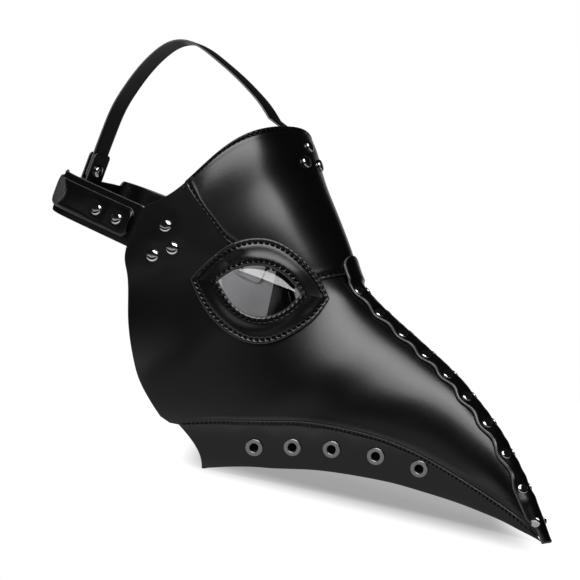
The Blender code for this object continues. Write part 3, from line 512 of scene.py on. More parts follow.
def sheet(outer, inner, ring=False, keep=None):
    """Points and quads of a sheet's two faces and the rim round open edges. keep says which quads stay."""
    rows, cols = outer.shape[:2]
    low = rows * cols
    index = np.arange(low).reshape(rows, cols)
    if ring:
        index = np.vstack([index, index[:1]])
    quads = np.stack([index[:-1, :-1], index[1:, :-1], index[1:, 1:], index[:-1, 1:]], -1)
    quads = quads.reshape(-1, 4) if keep is None else quads[keep]
    starts, ends = quads.ravel(), np.roll(quads, -1, axis=1).ravel()
    bare = ~np.isin(starts * low + ends, ends * low + starts)
    starts, ends = starts[bare], ends[bare]
    rim = np.stack([ends, starts, starts + low, ends + low], -1)
    points = np.vstack([outer.reshape(-1, 3), inner.reshape(-1, 3)])
    return points, faced_out(points, np.vstack([quads, quads[:, ::-1] + low, rim]))

def tube(rings):
    """Points and quads of a surface through closed rings, one ring a row."""
    rows, count = rings.shape[:2]
    index = np.arange(rows * count).reshape(rows, count)
    across = np.roll(index, -1, axis=1)
    quads = np.stack([index[:-1], index[1:], across[1:], across[:-1]], -1).reshape(-1, 4)
    points = rings.reshape(-1, 3)
    return points, faced_out(points, quads)

def turned(outline, place, normal, sides=36):
    """Points and quads of an outline (radius, height) turned round an axis through a place."""
    ex, ey, ez = frame_of(normal)
    radius, height = np.array(outline).T
    angle = np.linspace(0, 2 * np.pi, sides, endpoint=False)
    round_ = np.cos(angle)[:, None] * ex + np.sin(angle)[:, None] * ey
    rings = place + radius[:, None, None] * round_ + height[:, None, None] * ez
    return tube(rings)

def joined(pieces):
    """One set of points and quads from several."""
    starts = np.cumsum([0] + [len(points) for points, _ in pieces])
    points = np.vstack([points for points, _ in pieces])
    return points, np.vstack([faces + start for start, (_, faces) in zip(starts, pieces)])

def stitches(path, out, pitch=STITCH_PITCH, long=STITCH_LONG, thick=STITCH_THICK):
    """A row of thread stitches along a path: a bead for each, lying along the path on the side of out."""
    length = lengths(path)
    count = int(length[-1] / pitch)
    at = (np.arange(count) + 0.5) * length[-1] / count

    def along(values, where):
        return np.stack([np.interp(where, length, one) for one in values.T], -1)

    place, up = along(path, at), along(out, at)
    ahead_ = unit(along(path, at + 0.4) - along(path, at - 0.4))
    side = unit(np.cross(up, ahead_))
    turn = np.linspace(0.12, np.pi - 0.12, 7)
    round_ = np.linspace(0, 2 * np.pi, 8, endpoint=False)
    lie = -0.5 * long * np.cos(turn)[None, :, None, None] * ahead_[:, None, None]
    fat = 0.5 * thick * np.sin(turn)[None, :, None, None] ** 0.6
    across = np.cos(round_)[:, None] * side[:, None, None]
    rings = place[:, None, None] + lie + fat * (across + np.sin(round_)[:, None] * up[:, None, None])
    return joined([tube(one) for one in rings])

def inside_outline(points, outline):
    """Which side view points lie inside a closed outline, by counting the edges to one side."""
    x, z = points[..., 0, None], points[..., 1, None]
    ax, az = outline.T
    bx, bz = np.roll(outline, -1, axis=0).T
    crosses = (az > z) != (bz > z)
    rise = np.where(bz == az, 1.0, bz - az)
    return (crosses & (x < ax + (z - az) * (bx - ax) / rise)).sum(axis=-1) % 2 == 1

def piece(name, shape, look, replaces=(), body="mask", mirrored=False, worn_and_highlight=None, inside=None):
    """Makes a piece from points in mm and quads. worn_and_highlight marks the pale cut edges, which are worn
    edge and painted highlight, and the back strap's painted crease light; inside marks the leather's back.
    """
    points, faces = shape
    if mirrored:
        points, faces = points * (1, -1, 1), faces[:, ::-1]
    mesh = bpy.data.meshes.new(name)
    mesh.from_pydata(((points - (MIDDLE, 0, 0)) * MM).tolist(), [], faces.tolist())
    mesh.polygons.foreach_set("use_smooth", np.ones(len(mesh.polygons), bool))
    for label, values in (("worn_and_highlight", worn_and_highlight), ("inside", inside)):
        if values is not None:
            marks = mesh.attributes.new(label, "FLOAT", "POINT")
            marks.data.foreach_set("value", np.ravel(values).astype(np.float32))
    mesh.materials.append(look)
    made = bpy.data.objects.new(name, mesh)
    bpy.context.scene.collection.objects.link(made)
    if body:
        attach(made, body)
    if replaces:
        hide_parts(*replaces)
    return made

def both(name, shape, look, node=None, count=0, **more):
    """The piece on the right side and its mirror on the left, for a node of each side or a numbered row."""
    for hand, flip in HANDS:
        nodes = [f"{node}_{hand}_{k}" for k in range(1, count + 1)] if count else [f"{node}_{hand}"]
        piece(f"{name}_{hand}", shape, look, nodes if node else (), mirrored=flip, **more)

def layer_marks(far, strength, wide=0.55):
    """worn_and_highlight and inside values of a sheet's two faces, from the outer face's distance to its cut
    edges. The pale edge is worn leather and a painted highlight.
    """
    # Pale band along the cut edges: worn raw edge and a painted highlight.
    worn_and_highlight = strength * np.exp(-((far / wide) ** 2))
    return {"worn_and_highlight": np.stack([worn_and_highlight, worn_and_highlight]), "inside": np.stack([np.zeros_like(far), np.ones_like(far)])}

def feed(tree, node, inputs):
    """Sets a node's inputs by name: sockets are linked and values are stored."""
    for key, value in dict(inputs).items():
        if isinstance(value, bpy.types.NodeSocket):
            tree.links.new(value, node.inputs[key])
        else:
            node.inputs[key].default_value = value
    return node

def add_node(tree, kind, inputs=(), **settings):
    """Adds a node: settings are its properties, inputs are values or sockets by name."""
    node = tree.nodes.new(kind)
    for key, value in settings.items():
        setattr(node, key, value)
    return feed(tree, node, inputs)

def maths(tree, operation, *values):
    """Output of a Math node on these values or sockets."""
    return add_node(tree, "ShaderNodeMath", enumerate(values), operation=operation).outputs[0]

def ranged(tree, value, low, high, to_low=0.0, to_high=1.0, kind="LINEAR"):
    """Value carried from one range to another and held at its ends."""
    inputs = {"Value": value, "From Min": low, "From Max": high, "To Min": to_low, "To Max": to_high}
    return add_node(tree, "ShaderNodeMapRange", inputs, interpolation_type=kind).outputs["Result"]

def along_way(tree, vector, way):
    """How far a vector reaches along a way: their dot product."""
    inputs = {0: vector, 1: tuple(way)}
    return add_node(tree, "ShaderNodeVectorMath", inputs, operation="DOT_PRODUCT").outputs["Value"]

def mixed(tree, factor, first, second, kind="FLOAT"):
    """The first value where the factor is 0 and the second where it is 1."""
    inputs = {"Factor": factor, "A": first, "B": second}
    return add_node(tree, "ShaderNodeMix", inputs, data_type=kind).outputs["Result"]

def coloured(tree, factor, *pair):
    """Mix of two colours, each a socket or three numbers."""
    first, second = (one if isinstance(one, bpy.types.NodeSocket) else (*one, 1) for one in pair)
    return mixed(tree, factor, first, second, "RGBA")

def noise(tree, scale, detail):
    """Noise on object coordinates, with scale features to a metre."""
    where = add_node(tree, "ShaderNodeTexCoord").outputs["Object"]
    inputs = {"Vector": where, "Scale": scale, "Detail": detail}
    return add_node(tree, "ShaderNodeTexNoise", inputs).outputs["Fac"]

def bumped(tree, height, strength):
    """Normal of a fine relief."""
    inputs = {"Height": height, "Strength": strength, "Distance": RELIEF}
    return add_node(tree, "ShaderNodeBump", inputs).outputs["Normal"]

def shader(name, slot, rough, metal=0.0, specular=0.5):
    """A new material in a slot, its node tree and its Principled shader."""
    made = bpy.data.materials.new(name)
    made.use_nodes = True
    made["slot"] = slot
    tree = made.node_tree
    bsdf = feed(tree, tree.nodes["Principled BSDF"],
                {"Roughness": rough, "Metallic": metal, "Specular IOR Level": specular})
    return made, tree, bsdf

# Colours of the leather: its two blacks, the grey of its pale cut edges (worn edge and painted highlight) and
# of the painted light on the back strap, and the lining behind the eyes
BLACK, BLACK_PALE = (0.001, 0.001, 0.0011), (0.002, 0.002, 0.0021)
EDGE_AND_HIGHLIGHT_GREY = (0.1, 0.1, 0.1)
BACKING = (0.72, 0.72, 0.73)
LEATHER_SPECULAR = 0.42
# How much duller the leather's back is than its face, and the depth of grain and thread in metres
BACK_DULL = 0.65
RELIEF = 0.0002
# Grain in features to a metre: pebbles, creases between them, and the slow change of tone
PEBBLES, CREASES, TONES = 900.0, 420.0, 34.0
PEBBLE_SHARE = 0.6
THREAD_BLACK, THREAD_PALE = (0.001, 0.001, 0.001), (0.004, 0.004, 0.004)
LENS_TINT, LENS_PALE, LENS_INDEX = (0.52, 0.52, 0.53), (0.57, 0.57, 0.58), 1.55

def leather_grain():
    """Node group: grain from object coordinates. Height is pebbles plus creases and tone is slow noise."""
    group = bpy.data.node_groups.new("leather_grain", "ShaderNodeTree")
    for socket in ("Height", "Tone"):
        group.interface.new_socket(socket, in_out="OUTPUT", socket_type="NodeSocketFloat")
    where = add_node(group, "ShaderNodeTexCoord").outputs["Object"]
    cells = add_node(group, "ShaderNodeTexVoronoi", {"Vector": where, "Scale": PEBBLES}, feature="SMOOTH_F1")
    height = maths(group, "MULTIPLY_ADD", cells.outputs["Distance"], PEBBLE_SHARE, noise(group, CREASES, 4.0))
    add_node(group, "NodeGroupOutput", {"Height": height, "Tone": noise(group, TONES, 3.0)})
    return group

grain = leather_grain()

def leather_look(name, rough, bump):
    """Black leather: slow tone between two blacks, pale cut edges that are worn edge and painted highlight,
    painted highlights on the back strap, grain as a fine bump, and a dull back that is lined with grey behind
    the eyes."""
    made, tree, bsdf = shader(name, name, rough, specular=LEATHER_SPECULAR)
    source = add_node(tree, "ShaderNodeGroup", node_tree=grain).outputs
    worn_and_highlight, back_face = (add_node(tree, "ShaderNodeAttribute", attribute_name=label).outputs["Fac"]
                       for label in ("worn_and_highlight", "inside"))
    where = add_node(tree, "ShaderNodeTexCoord").outputs["Object"]
    place = add_node(tree, "ShaderNodeSeparateXYZ", {"Vector": where})
    lined = maths(tree, "LESS_THAN", place.outputs["X"], (LINING_END - MIDDLE) * MM)
    # Marked edges are painted paler: worn edge, a painted edge highlight, and the back strap's painted crease
    # light.
    face = coloured(tree, worn_and_highlight, coloured(tree, source["Tone"], BLACK, BLACK_PALE), EDGE_AND_HIGHLIGHT_GREY)
    colour = coloured(tree, maths(tree, "MULTIPLY", back_face, lined), face, BACKING)
    polish = ranged(tree, source["Tone"], 0, 1, rough - 0.03, rough + 0.05)
    dull = maths(tree, "MULTIPLY_ADD", back_face, BACK_DULL, polish)
    relief = bumped(tree, source["Height"], bump)
    feed(tree, bsdf, {"Base Color": colour, "Roughness": dull, "Normal": relief})
    return made

def metal_look(name, colour, rough, scratch):
    """Polished or satin metal with faint scuffs in its colour and roughness."""
    made, tree, bsdf = shader(name, "polished_steel", rough, metal=1.0)
    scuffs = noise(tree, 700.0, 5.0)
    feed(tree, bsdf, {"Base Color": coloured(tree, scuffs, colour, [0.86 * c for c in colour]),
                      "Roughness": ranged(tree, scuffs, 0, 1, rough, rough + scratch)})
    return made

def thread_look():
    """Waxed black thread with twisted strands."""
    made, tree, bsdf = shader("waxed_thread", "black_leather", 0.7, specular=0.06)
    strands = noise(tree, 2600.0, 2.0)
    feed(tree, bsdf, {"Base Color": coloured(tree, strands, THREAD_BLACK, THREAD_PALE),
                      "Normal": bumped(tree, strands, 0.5)})
    return made

def lens_look():
    """Smoked clear plastic: a tinted see-through plate with a little cloud in its tint."""
    made, tree, bsdf = shader("lens_tint", "lens_tint", 0.02)
    tint_colour = coloured(tree, noise(tree, 60.0, 2.0), LENS_TINT, LENS_PALE)
    feed(tree, bsdf, {"Transmission Weight": 1.0, "IOR": LENS_INDEX, "Base Color": tint_colour})
    return made

leather = leather_look("black_leather", 0.22, 0.12)
strap_leather = leather_look("strap_leather", 0.27, 0.15)
chrome = metal_look("polished_steel", (0.55, 0.55, 0.56), 0.06, 0.08)
nickel = metal_look("satin_steel", (0.26, 0.26, 0.265), 0.28, 0.14)
thread = thread_look()
tint = lens_look()

def grid(rows, cols):
    """Two parameters on a grid, the first along its rows."""
    return np.meshgrid(rows, cols, indexing="ij")

def opening_free(t, u, by):
    """Which points of the skin lie outside the eye opening grown by a distance."""
    x, z, _ = skin_side(t, np.abs(u))
    return ~inside_outline(np.stack([x, z], -1), grown(outline_of(OPENING, 40), by))

def kept_quads(points_kept):
    """Quads of a grid whose four corners are all kept."""
    return points_kept[:-1, :-1] & points_kept[1:, :-1] & points_kept[1:, 1:] & points_kept[:-1, 1:]

def above_floor(points):
    """Points, with those that would sink below the floor's clearance raised to it."""
    return np.concatenate([points[..., :2], np.maximum(points[..., 2:], FLOOR_ROOM)], axis=-1)

def path_on_skin(t, u, off):
    """A path on the skin and its outward normals."""
    points, out = laid(skin, t, u)
    return points + off * out, out

# Where the rivets and eyelets sit, as places on the inner skin with normals
rivet_t = T_BRIDGE + RIDGE_FIRST + np.array(RIDGE_RIVETS)
rivet_u = u_at(rivet_t, np.linspace(RIDGE_SIDE, RIDGE_SIDE_TIP, len(rivet_t))[:, None])[:, 0]
ridge_at, ridge_n = laid(skin, rivet_t, rivet_u)
side_t, side_u = locate(*np.array(SIDE_RIVETS).T)
side_at, side_n = laid(skin, side_t, side_u)
tab_side = TOP_TAB_WIDTH / 2 - TAB_RIVET_IN
brow_t = np.array([TAB_RIVET_TOP, TAB_RIVET_LOW, TAB_RIVET_LOW])
brow_y = np.array([0.0, tab_side, -tab_side])
brow_u = np.sign(brow_y) * u_at(brow_t, np.abs(brow_y)[:, None])[:, 0]
brow_at, brow_n = laid(skin, brow_t, brow_u)
eyelet_t, eyelet_b = T_JAW + np.array(EYELETS)[:, 0], np.array(EYELETS)[:, 1]
eyelet_at, eyelet_n = laid(jaw_skin, eyelet_t, eyelet_b)

# Where the stitch rows run: along the forehead's seam and top edge, and along the jaw seam
row_u = np.linspace(0.1, U_TOP - 0.04, 400)
row_column, row_share = grid(row_u, np.linspace(0, 1, 300))
row_t = np.maximum(seam_at(row_column), 3.0) * row_share
row_length = run(skin(row_t, row_column), 1)
seam_row_t = np.array([np.interp(one[-1] - STITCH_IN, one, t) for one, t in zip(row_length, row_t)])
top_row_t = np.array([np.interp(TOP_IN, one, t) for one, t in zip(row_length, row_t)])
jaw_row_t = np.linspace(T_JAW + 1, T_END - 7, 500)
jaw_drop = jaw_skin(jaw_row_t, np.ones(500)) - jaw_skin(jaw_row_t, np.zeros(500))
jaw_row_b = np.minimum(JAW_IN / np.linalg.norm(jaw_drop, axis=-1), 0.5)

def side_panels():
    """Side panels: the skin from the seam to the rear edge, and a tail that turns under the jaw band."""
    columns, tail_columns = 104, 6
    panel_u = 0.05 + 0.95 * (1 - (1 - np.linspace(0, 1, columns)) ** 1.5)
    start = np.where(panel_u >= U_TOP, 0.0, np.maximum(seam_at(panel_u) - SEAM_LAP, 0.0))
    rows, u = grid(eased(210, 0.8), panel_u)
    t = start + (T_END - start) * rows
    inner, out = laid(skin, t, u)
    edge_t = t[:, -1]
    ones = np.ones_like(edge_t)
    hold = smooth((edge_t - T_JAW + 2) / 3) * smooth((T_END - edge_t) / 8)
    long = np.linalg.norm(jaw_skin(edge_t, ones) - jaw_skin(edge_t, 0 * ones), axis=-1)
    down = np.minimum(JAW_LAP / long, 0.3)
    free, free_n = skin(edge_t, 1.004 * ones), normals(skin, edge_t, ones)
    tail = free + hold[:, None] * (jaw_skin(edge_t, down) - free)
    tail_n = free_n + hold[:, None] * (normals(jaw_skin, edge_t, down) - free_n)
    share = np.linspace(0, 1, tail_columns + 1)[1:, None]
    inner = np.concatenate([inner, inner[:, -1:] + share * (tail - inner[:, -1])[:, None]], axis=1)
    out = np.concatenate([out, out[:, -1:] + share * (tail_n - out[:, -1])[:, None]], axis=1)
    out = unit(out)
    far = to_edge(inner, rows=(True, True), cols=(False, True))
    jaw_far = run(inner, 1)
    jaw_far = np.abs(jaw_far[:, columns - 1:columns] - jaw_far)
    at_jaw = smooth((edge_t - T_JAW - 2) / 8)[:, None]
    height = LEATHER + ripple(inner) + dimples(inner, side_at, *SIDE_DIMPLE)
    height = height + at_jaw * (0.05 * bell(jaw_far, 4.5, 2.5) - 0.05 * bell(jaw_far, 0, 1.6))
    outer, inner = faces_of(inner, out, height, 0.0, rounding(far))
    kept = opening_free(t, u, LENS_LIP + LENS_ROOM)
    kept = np.concatenate([kept, np.ones((len(t), tail_columns), bool)], axis=1)
    both("side_panel_leather", sheet(outer, inner, keep=kept_quads(kept)), leather, "side_panel",
         **layer_marks(far, SIDE_WORN_AND_HIGHLIGHT))

def forehead():
    """Forehead panel: the skin from the top edge to the seam, one lap above the side panels, sewn at both."""
    seam_arc = lengths(skin(seam_t, seam_u))
    half_u = np.interp(np.linspace(0, seam_arc[-1], 181), seam_arc, seam_u)
    full_u = np.concatenate([-half_u[:0:-1], half_u])
    rows, u = grid(eased(122), full_u)
    t = np.maximum(seam_at(np.abs(u)), 3.0) * rows
    skin_in, out = laid(skin, t, u)
    from_top = run(skin_in, 0)
    whole = from_top[-1:]
    room = smooth((whole - 4) / 14)
    along = np.abs(full_u)
    seam_pit, top_pit = (pits(np.interp(along, row_u, stitch_count(skin(line, row_u), STITCH_PITCH), right=0))
                         for line in (seam_row_t, top_row_t))
    height = STACK + ripple(skin_in) * room + dimples(skin_in, brow_at, *BROW_DIMPLE)
    sewn = sewn_edge(whole - from_top, seam_pit, STITCH_IN) + sewn_edge(from_top, top_pit, TOP_IN)
    height = height + room * sewn
    far = to_edge(skin_in, rows=(True, True), cols=(True, True))
    outer, inner = faces_of(skin_in, out, height, STEP, rounding(far))
    kept = opening_free(t, u, LENS_LIP + LENS_ROOM)
    piece("forehead_leather", sheet(outer, inner, keep=kept_quads(kept)), leather, ["forehead_panel"],
          **layer_marks(far, BROW_WORN_AND_HIGHLIGHT))

def jaw_bands():
    """Jaw bands: straight from the jaw seam to the lower edge, bowed, one lap over the side panel, levelled
    below. The rear corner rests on the floor and the front end is drawn out to the tip."""
    t, b = grid(T_JAW + (T_END - 1 - T_JAW) * eased(420, 0.5), eased(46, 0.8))
    base, out = laid(jaw_skin, t, b)
    far = to_edge(base, rows=(True, True), cols=(True, True))
    from_top = run(base, 1)
    row_count = stitch_count(jaw_skin(jaw_row_t, jaw_row_b), JAW_PITCH)
    pit = pits(np.interp(t[:, :1], jaw_row_t, row_count, right=0))
    tuck = jaw_tuck(t)
    height = 0.6 * ripple(base) * smooth(far / 8) + dimples(base, eyelet_at, *JAW_DIMPLE)
    height = height - smooth(from_top[:, -1:] / 8) * (0.12 + 0.4 * pit) * bell(from_top, JAW_IN, 0.7)
    height = height + tuck + LEATHER
    plain, under = base + (tuck + LEATHER)[..., None] * out, base + tuck[..., None] * out
    level = (plain[:, -1, 2] + under[:, -1, 2]) / 2
    level = (level - level[0]) * smooth((t[:, 0] - T_JAW) / 2)
    lower = np.clip((b - 0.66) / 0.34, 0, 1)[..., None] ** 2 * np.array([0.0, 0.0, 1.0])
    outer, inner = faces_of(base, out, height, tuck, rounding(far, JAW_ROUND))
    outer = outer + lower * (level - plain[:, -1, 2])[:, None, None]
    inner = inner + lower * (level - under[:, -1, 2])[:, None, None]
    reach = (smooth((t - T_END + JAW_DRAWN + 2) / JAW_DRAWN) * b)[..., None] * JAW_REACH
    outer, inner = above_floor(outer + reach), above_floor(inner + reach)
    away = np.min([np.linalg.norm(base - one, axis=-1) for one in eyelet_at], axis=0)
    kept = away > EYELET_HOLE_R + EYELET_WALL + 0.1
    both("jaw_band_leather", sheet(outer, inner, keep=kept_quads(kept)), leather, "lower_band",
         **layer_marks(far, JAW_WORN_AND_HIGHLIGHT))

def ridge_strip():
    """Ridge strip: a band over the ridge whose half width is a row of cosine scallops between the rivets.
    It has a rounded tab on the forehead and a tongue at the tip."""
    first = T_BRIDGE - STRIP_TAB
    strip_t = first + (T_END - first) * np.concatenate([np.linspace(0, 1, 60) ** 1.6 * 0.06,
                                                        np.linspace(0.06, 1, 330)[1:]])
    half = np.interp(strip_t, [rivet_t[-4], T_END], [STRIP_HALF, STRIP_HALF_TIP])
    half += SCALLOP * (np.cos(2 * np.pi * np.interp(strip_t, rivet_t, np.arange(len(rivet_t)))) - 1)
    whole = run(skin(*grid(strip_t, np.linspace(0, 1, 120))), 1)[:, -1]
    half = np.minimum(half, whole - STRIP_CLEAR)
    half += smooth((strip_t - T_END + 8) / 8) * (np.minimum(TONGUE_HALF, half) - half)
    tab = np.clip((strip_t - first) / 7.0, 0, 1)
    half *= np.sqrt(np.maximum(1 - (1 - tab) ** 2, 0.02))
    t, across = grid(strip_t, 2 * eased(45, 0.8) - 1)
    u = np.sign(across) * u_at(strip_t, np.abs(across) * half[:, None])
    base, out = laid(skin, t, u)
    under = STEP * (1 + smooth((T_BRIDGE + 5.5 - t) / 4.5))
    share = np.linspace(0, 1, 12)[1:, None, None]
    fall = base[-1, :, 2:] + 0 * share
    base = np.concatenate([base, base[-1] + share * fall * (ahead[0], 0.0, -1.0)])
    out = np.concatenate([out, np.repeat(out[-1:], 11, axis=0)])
    under = np.concatenate([under, np.repeat(under[-1:], 11, axis=0)])
    far = to_edge(base, rows=(True, True), cols=(True, True))
    centres = np.concatenate([ridge_at, ridge_at * (1, -1, 1)])
    height = LEATHER + dimples(base, centres, *RIDGE_DIMPLE) + 0.2 * bell(far, 1.4, 1.0)
    outer, inner = (above_floor(one) for one in faces_of(base, out, under + height, under, rounding(far)))
    piece("ridge_strip_leather", sheet(outer, inner), leather, ["ridge_strip"],
          **layer_marks(far, RIDGE_WORN_AND_HIGHLIGHT, 0.8))

def eyes():
    """Eye surrounds, lenses and retainers round the eye opening. The surround is a ring between two outlines
    that rises towards the opening, the lens a sheet bent along a line, the retainer an even ring."""
    count = 200
    opening, surround = outline_of(OPENING, count), outline_of(SURROUND, count)
    ring = opening[:, None] + eased(40, 0.7)[None, :, None] * (surround - opening)[:, None]
    t, u = locate(ring[..., 0], ring[..., 1])
    base, out = laid(skin, t, u)
    far_in = run(base, 1)
    far_out = far_in[:, -1:] - far_in
    far = np.minimum(far_in, far_out)
    rise = (far_out / (far_in + far_out)) ** 1.5
    height = LEATHER + SURROUND_RISE * rise - LIP_DROP * (1 - smooth(far_in / STITCH_IN))
    rows = []
    for edge, inward, away in ((opening, STITCH_IN, far_in), (surround, -STITCH_IN, far_out)):
        row = grown(edge, inward)
        row = np.vstack([row, row[:1]])
        path, path_n = path_on_skin(*locate(row[:, 0], row[:, 1]), 0.0)
        high = LEATHER + SURROUND_RISE * np.median(rise[away < STITCH_IN + 0.5])
        path = path + (lift(row, *FACE_RAMP) + high)[:, None] * path_n
        rows.append(stitches(path - EYE_THREAD_SUNK * path_n, path_n))
        height = height + sewn_edge(away, pits(stitch_count(path, STITCH_PITCH)[:-1, None]), STITCH_IN)
    drop = rounding(far)
    face, back = lift(ring, *FACE_RAMP) + height, lift(ring, *BACK_RAMP) + SURROUND_RISE_IN * rise
    outer, inner = faces_of(base, out, face, back, drop)
    both("eye_surround_leather", sheet(outer, inner, ring=True), leather, "eye_surround",
         **layer_marks(far, EYE_WORN_AND_HIGHLIGHT))
    both("eye_stitches", joined(rows), thread)

    edge = grown(opening, LENS_LIP)
    middle = edge.mean(axis=0)
    share = np.linspace(0.004, 1, 30)
    flat = middle + share[:, None, None] * (edge - middle)
    t, u = locate(flat[..., 0], flat[..., 1])
    fold = unit(LENS_FOLD[1] - LENS_FOLD[0])
    above = (flat - LENS_FOLD[0]) @ np.array([-fold[1], fold[0]])
    level = GAP + LENS_HIGH - np.where(above > 0, LENS_BEND, -LENS_FALL) * above
    high, low = skin_offset(t, u, level + LENS_THICK), skin_offset(t, u, level)
    rings = np.concatenate([high, low[::-1]])
    both("eye_lens_plate", tube(rings), tint, "eye_lens")

    hold_in, hold_out = grown(opening, LENS_LIP - RETAINER_HOLD), grown(opening, LENS_LIP + RETAINER_LIP)
    ring = hold_in[:, None] + eased(14, 0.6)[None, :, None] * (hold_out - hold_in)[:, None]
    t, u = locate(ring[..., 0], ring[..., 1])
    base, out = laid(skin, t, u)
    far = run(base, 1)
    far = np.minimum(far, far[:, -1:] - far)
    back = -RETAINER_ROOM - LENS_THICK
    outer, inner = faces_of(base, out, -RETAINER_ROOM, back, rounding(far, RETAINER_ROUND))
    both("lens_retainer_leather", sheet(outer, inner, ring=True), leather, "lens_retainer")

def seam_threads():
    """Stitch rows along the forehead's seam and top edge and along the jaw seam, on both sides."""
    seam_row = stitches(*path_on_skin(seam_row_t, row_u, STACK - THREAD_SUNK))
    top_row = stitches(*path_on_skin(top_row_t, row_u, STACK - THREAD_SUNK))
    jaw_path, jaw_out = laid(jaw_skin, jaw_row_t, jaw_row_b)
    jaw_path = jaw_path + (LEATHER + jaw_tuck(jaw_row_t) - THREAD_SUNK)[:, None] * jaw_out
    jaw_row = stitches(jaw_path, jaw_out, JAW_PITCH, JAW_LONG, JAW_THICK)
    both("seam_stitches", joined([seam_row, top_row, jaw_row]), thread)

def rivet_shape(place, normal, top, bottom, cap_r=CAP_R, cap_h=CAP_H, paired=False):
    """Turned rivet: a domed cap whose rim bites the leather, a post, and a flat or matching cap behind."""
    high, low = top + CAP_ROOM, bottom - BACK_ROOM
    turn = np.linspace(0.02, np.pi / 2, 14)
    cap = np.stack([cap_r * np.sin(turn) ** 0.65, high + cap_h * np.cos(turn) ** 0.8], -1)
    rim = np.array([(0.97 * cap_r, high - 0.35), (0.85 * cap_r, high - 0.4), (POST_R, high - 0.4)])
    if paired:
        low = bottom - CAP_ROOM
        back = np.concatenate([rim[::-1], cap[::-1]]) * (1, -1) + (0, high + low)
    else:
        back = np.array([(POST_R, low), (BACK_R - 0.2, low), (BACK_R, low - 0.2),
                         (BACK_R, low - BACK_H + 0.2), (BACK_R - 0.3, low - BACK_H), (0.02, low - BACK_H)])
    return turned(np.concatenate([cap, rim, back]), place, normal)

def rivets(places, ways, top, bottom, *cap):
    """Equal rivets at several places, as one shape."""
    return joined([rivet_shape(place, way, top, bottom, *cap) for place, way in zip(places, ways)])

def metal_fittings():
    """Rivets and eyelets of the shell, turned from outlines of radius and height."""
    shape = rivets(ridge_at, ridge_n, STACK - RIDGE_SUNK, 0.0, RIDGE_CAP_R, RIDGE_CAP_H)
    both("ridge_rivets", shape, chrome, "ridge_rivet", len(ridge_at))
    tip_t = np.array([T_END - TIP_RIVET_BACK])
    tip_u = u_at(tip_t, np.array([[RIDGE_SIDE_TIP]]))[:, 0]
    tip_side = skin_offset(tip_t, tip_u, np.array([STACK]))[0]
    reach = abs(tip_side[1]) + TIP_ROOM - RIDGE_SUNK
    shape = rivet_shape(tip_side * (1, 0, 1), (0, -1, 0), reach, -reach, TIP_CAP_R, 0.6 * RIDGE_CAP_H, True)
    piece("tip_rivet_caps", shape, chrome, ["tip_rivet"])
    shape = rivets(side_at, side_n, LEATHER, -GAP - STRAP_THICK)
    both("side_rivets", shape, chrome, "side_rivet", len(side_at))
    shape = rivets(brow_at, brow_n, STACK, STEP - GAP - STRAP_THICK)
    piece("forehead_rivets", shape, chrome, [f"forehead_rivet_{k}" for k in range(1, len(brow_at) + 1)])

    high, low = STACK + CAP_ROOM, STEP - BACK_ROOM
    barrel, middle = EYELET_HOLE_R + EYELET_WALL, 0.5 * (EYELET_HOLE_R + EYELET_R)
    turn = np.linspace(0, np.pi, 15)
    roll_r, roll_high = middle + (EYELET_R - middle) * np.cos(turn), high + EYELET_RIM * np.sin(turn) ** 0.5
    roll = np.stack([roll_r, roll_high], -1)
    flange = EYELET_R - 2
    tail = [(EYELET_HOLE_R, high - 0.6), (EYELET_HOLE_R, low - EYELET_WALL), (flange, low - EYELET_WALL),
            (flange, low), (barrel, low), (barrel, high), (EYELET_R - 0.3, high - 0.35), (EYELET_R, high)]
    rings = [turned(np.concatenate([roll, tail]), p, n, 48) for p, n in zip(eyelet_at, eyelet_n)]
    both("eyelet_rings", joined(rings), nickel, "eyelet", len(eyelet_at))
    # Dark discs deep in the eyelets' barrels: painted shade that stands in for the dark inside seen through
    # the holes.
    disc = [(0.02, low + 0.9), (barrel - 0.6, low + 0.9), (barrel - 0.6, low + 0.6), (0.02, low + 0.6)]
    shade_discs = [turned(disc, p, n, 24) for p, n in zip(eyelet_at, eyelet_n)]
    both("eyelet_shade_discs", joined(shade_discs), thread)

def section(half, thick, crown, count=44):
    """Closed outline across a strap for each row, a squared ellipse with a crowned face: places across it,
    heights, and the pale marks of its two edges, which are worn edge and painted highlight."""
    turn = np.linspace(0, 2 * np.pi, count, endpoint=False)
    across = np.sign(np.cos(turn)) * np.abs(np.cos(turn)) ** 0.35
    high = np.sign(np.sin(turn)) * np.abs(np.sin(turn)) ** 0.5
    swell = crown * np.maximum(np.sin(turn), 0) ** 0.3 * (1 - across**4)
    # The last value marks the pale edges: worn edge and a painted highlight.
    return half[:, None] * across, 0.5 * thick * high + swell, np.exp(-(((1 - np.abs(across)) / 0.02) ** 2))

def cut_end(far, half, radius):
    """Half width near a strap's cut end, with corners of this radius."""
    share = np.clip(1 - far / radius, 0, 1)
    return np.maximum(half - radius * (1 - np.sqrt(1 - share**2)), 0.05 * half)

def strap_marks(mark, rows):
    """worn_and_highlight and inside values of a strap's rings: pale edges that are worn edge and painted
    highlight.
    """
    return {"worn_and_highlight": np.repeat(mark[None], rows, axis=0), "inside": np.zeros((rows, len(mark)))}

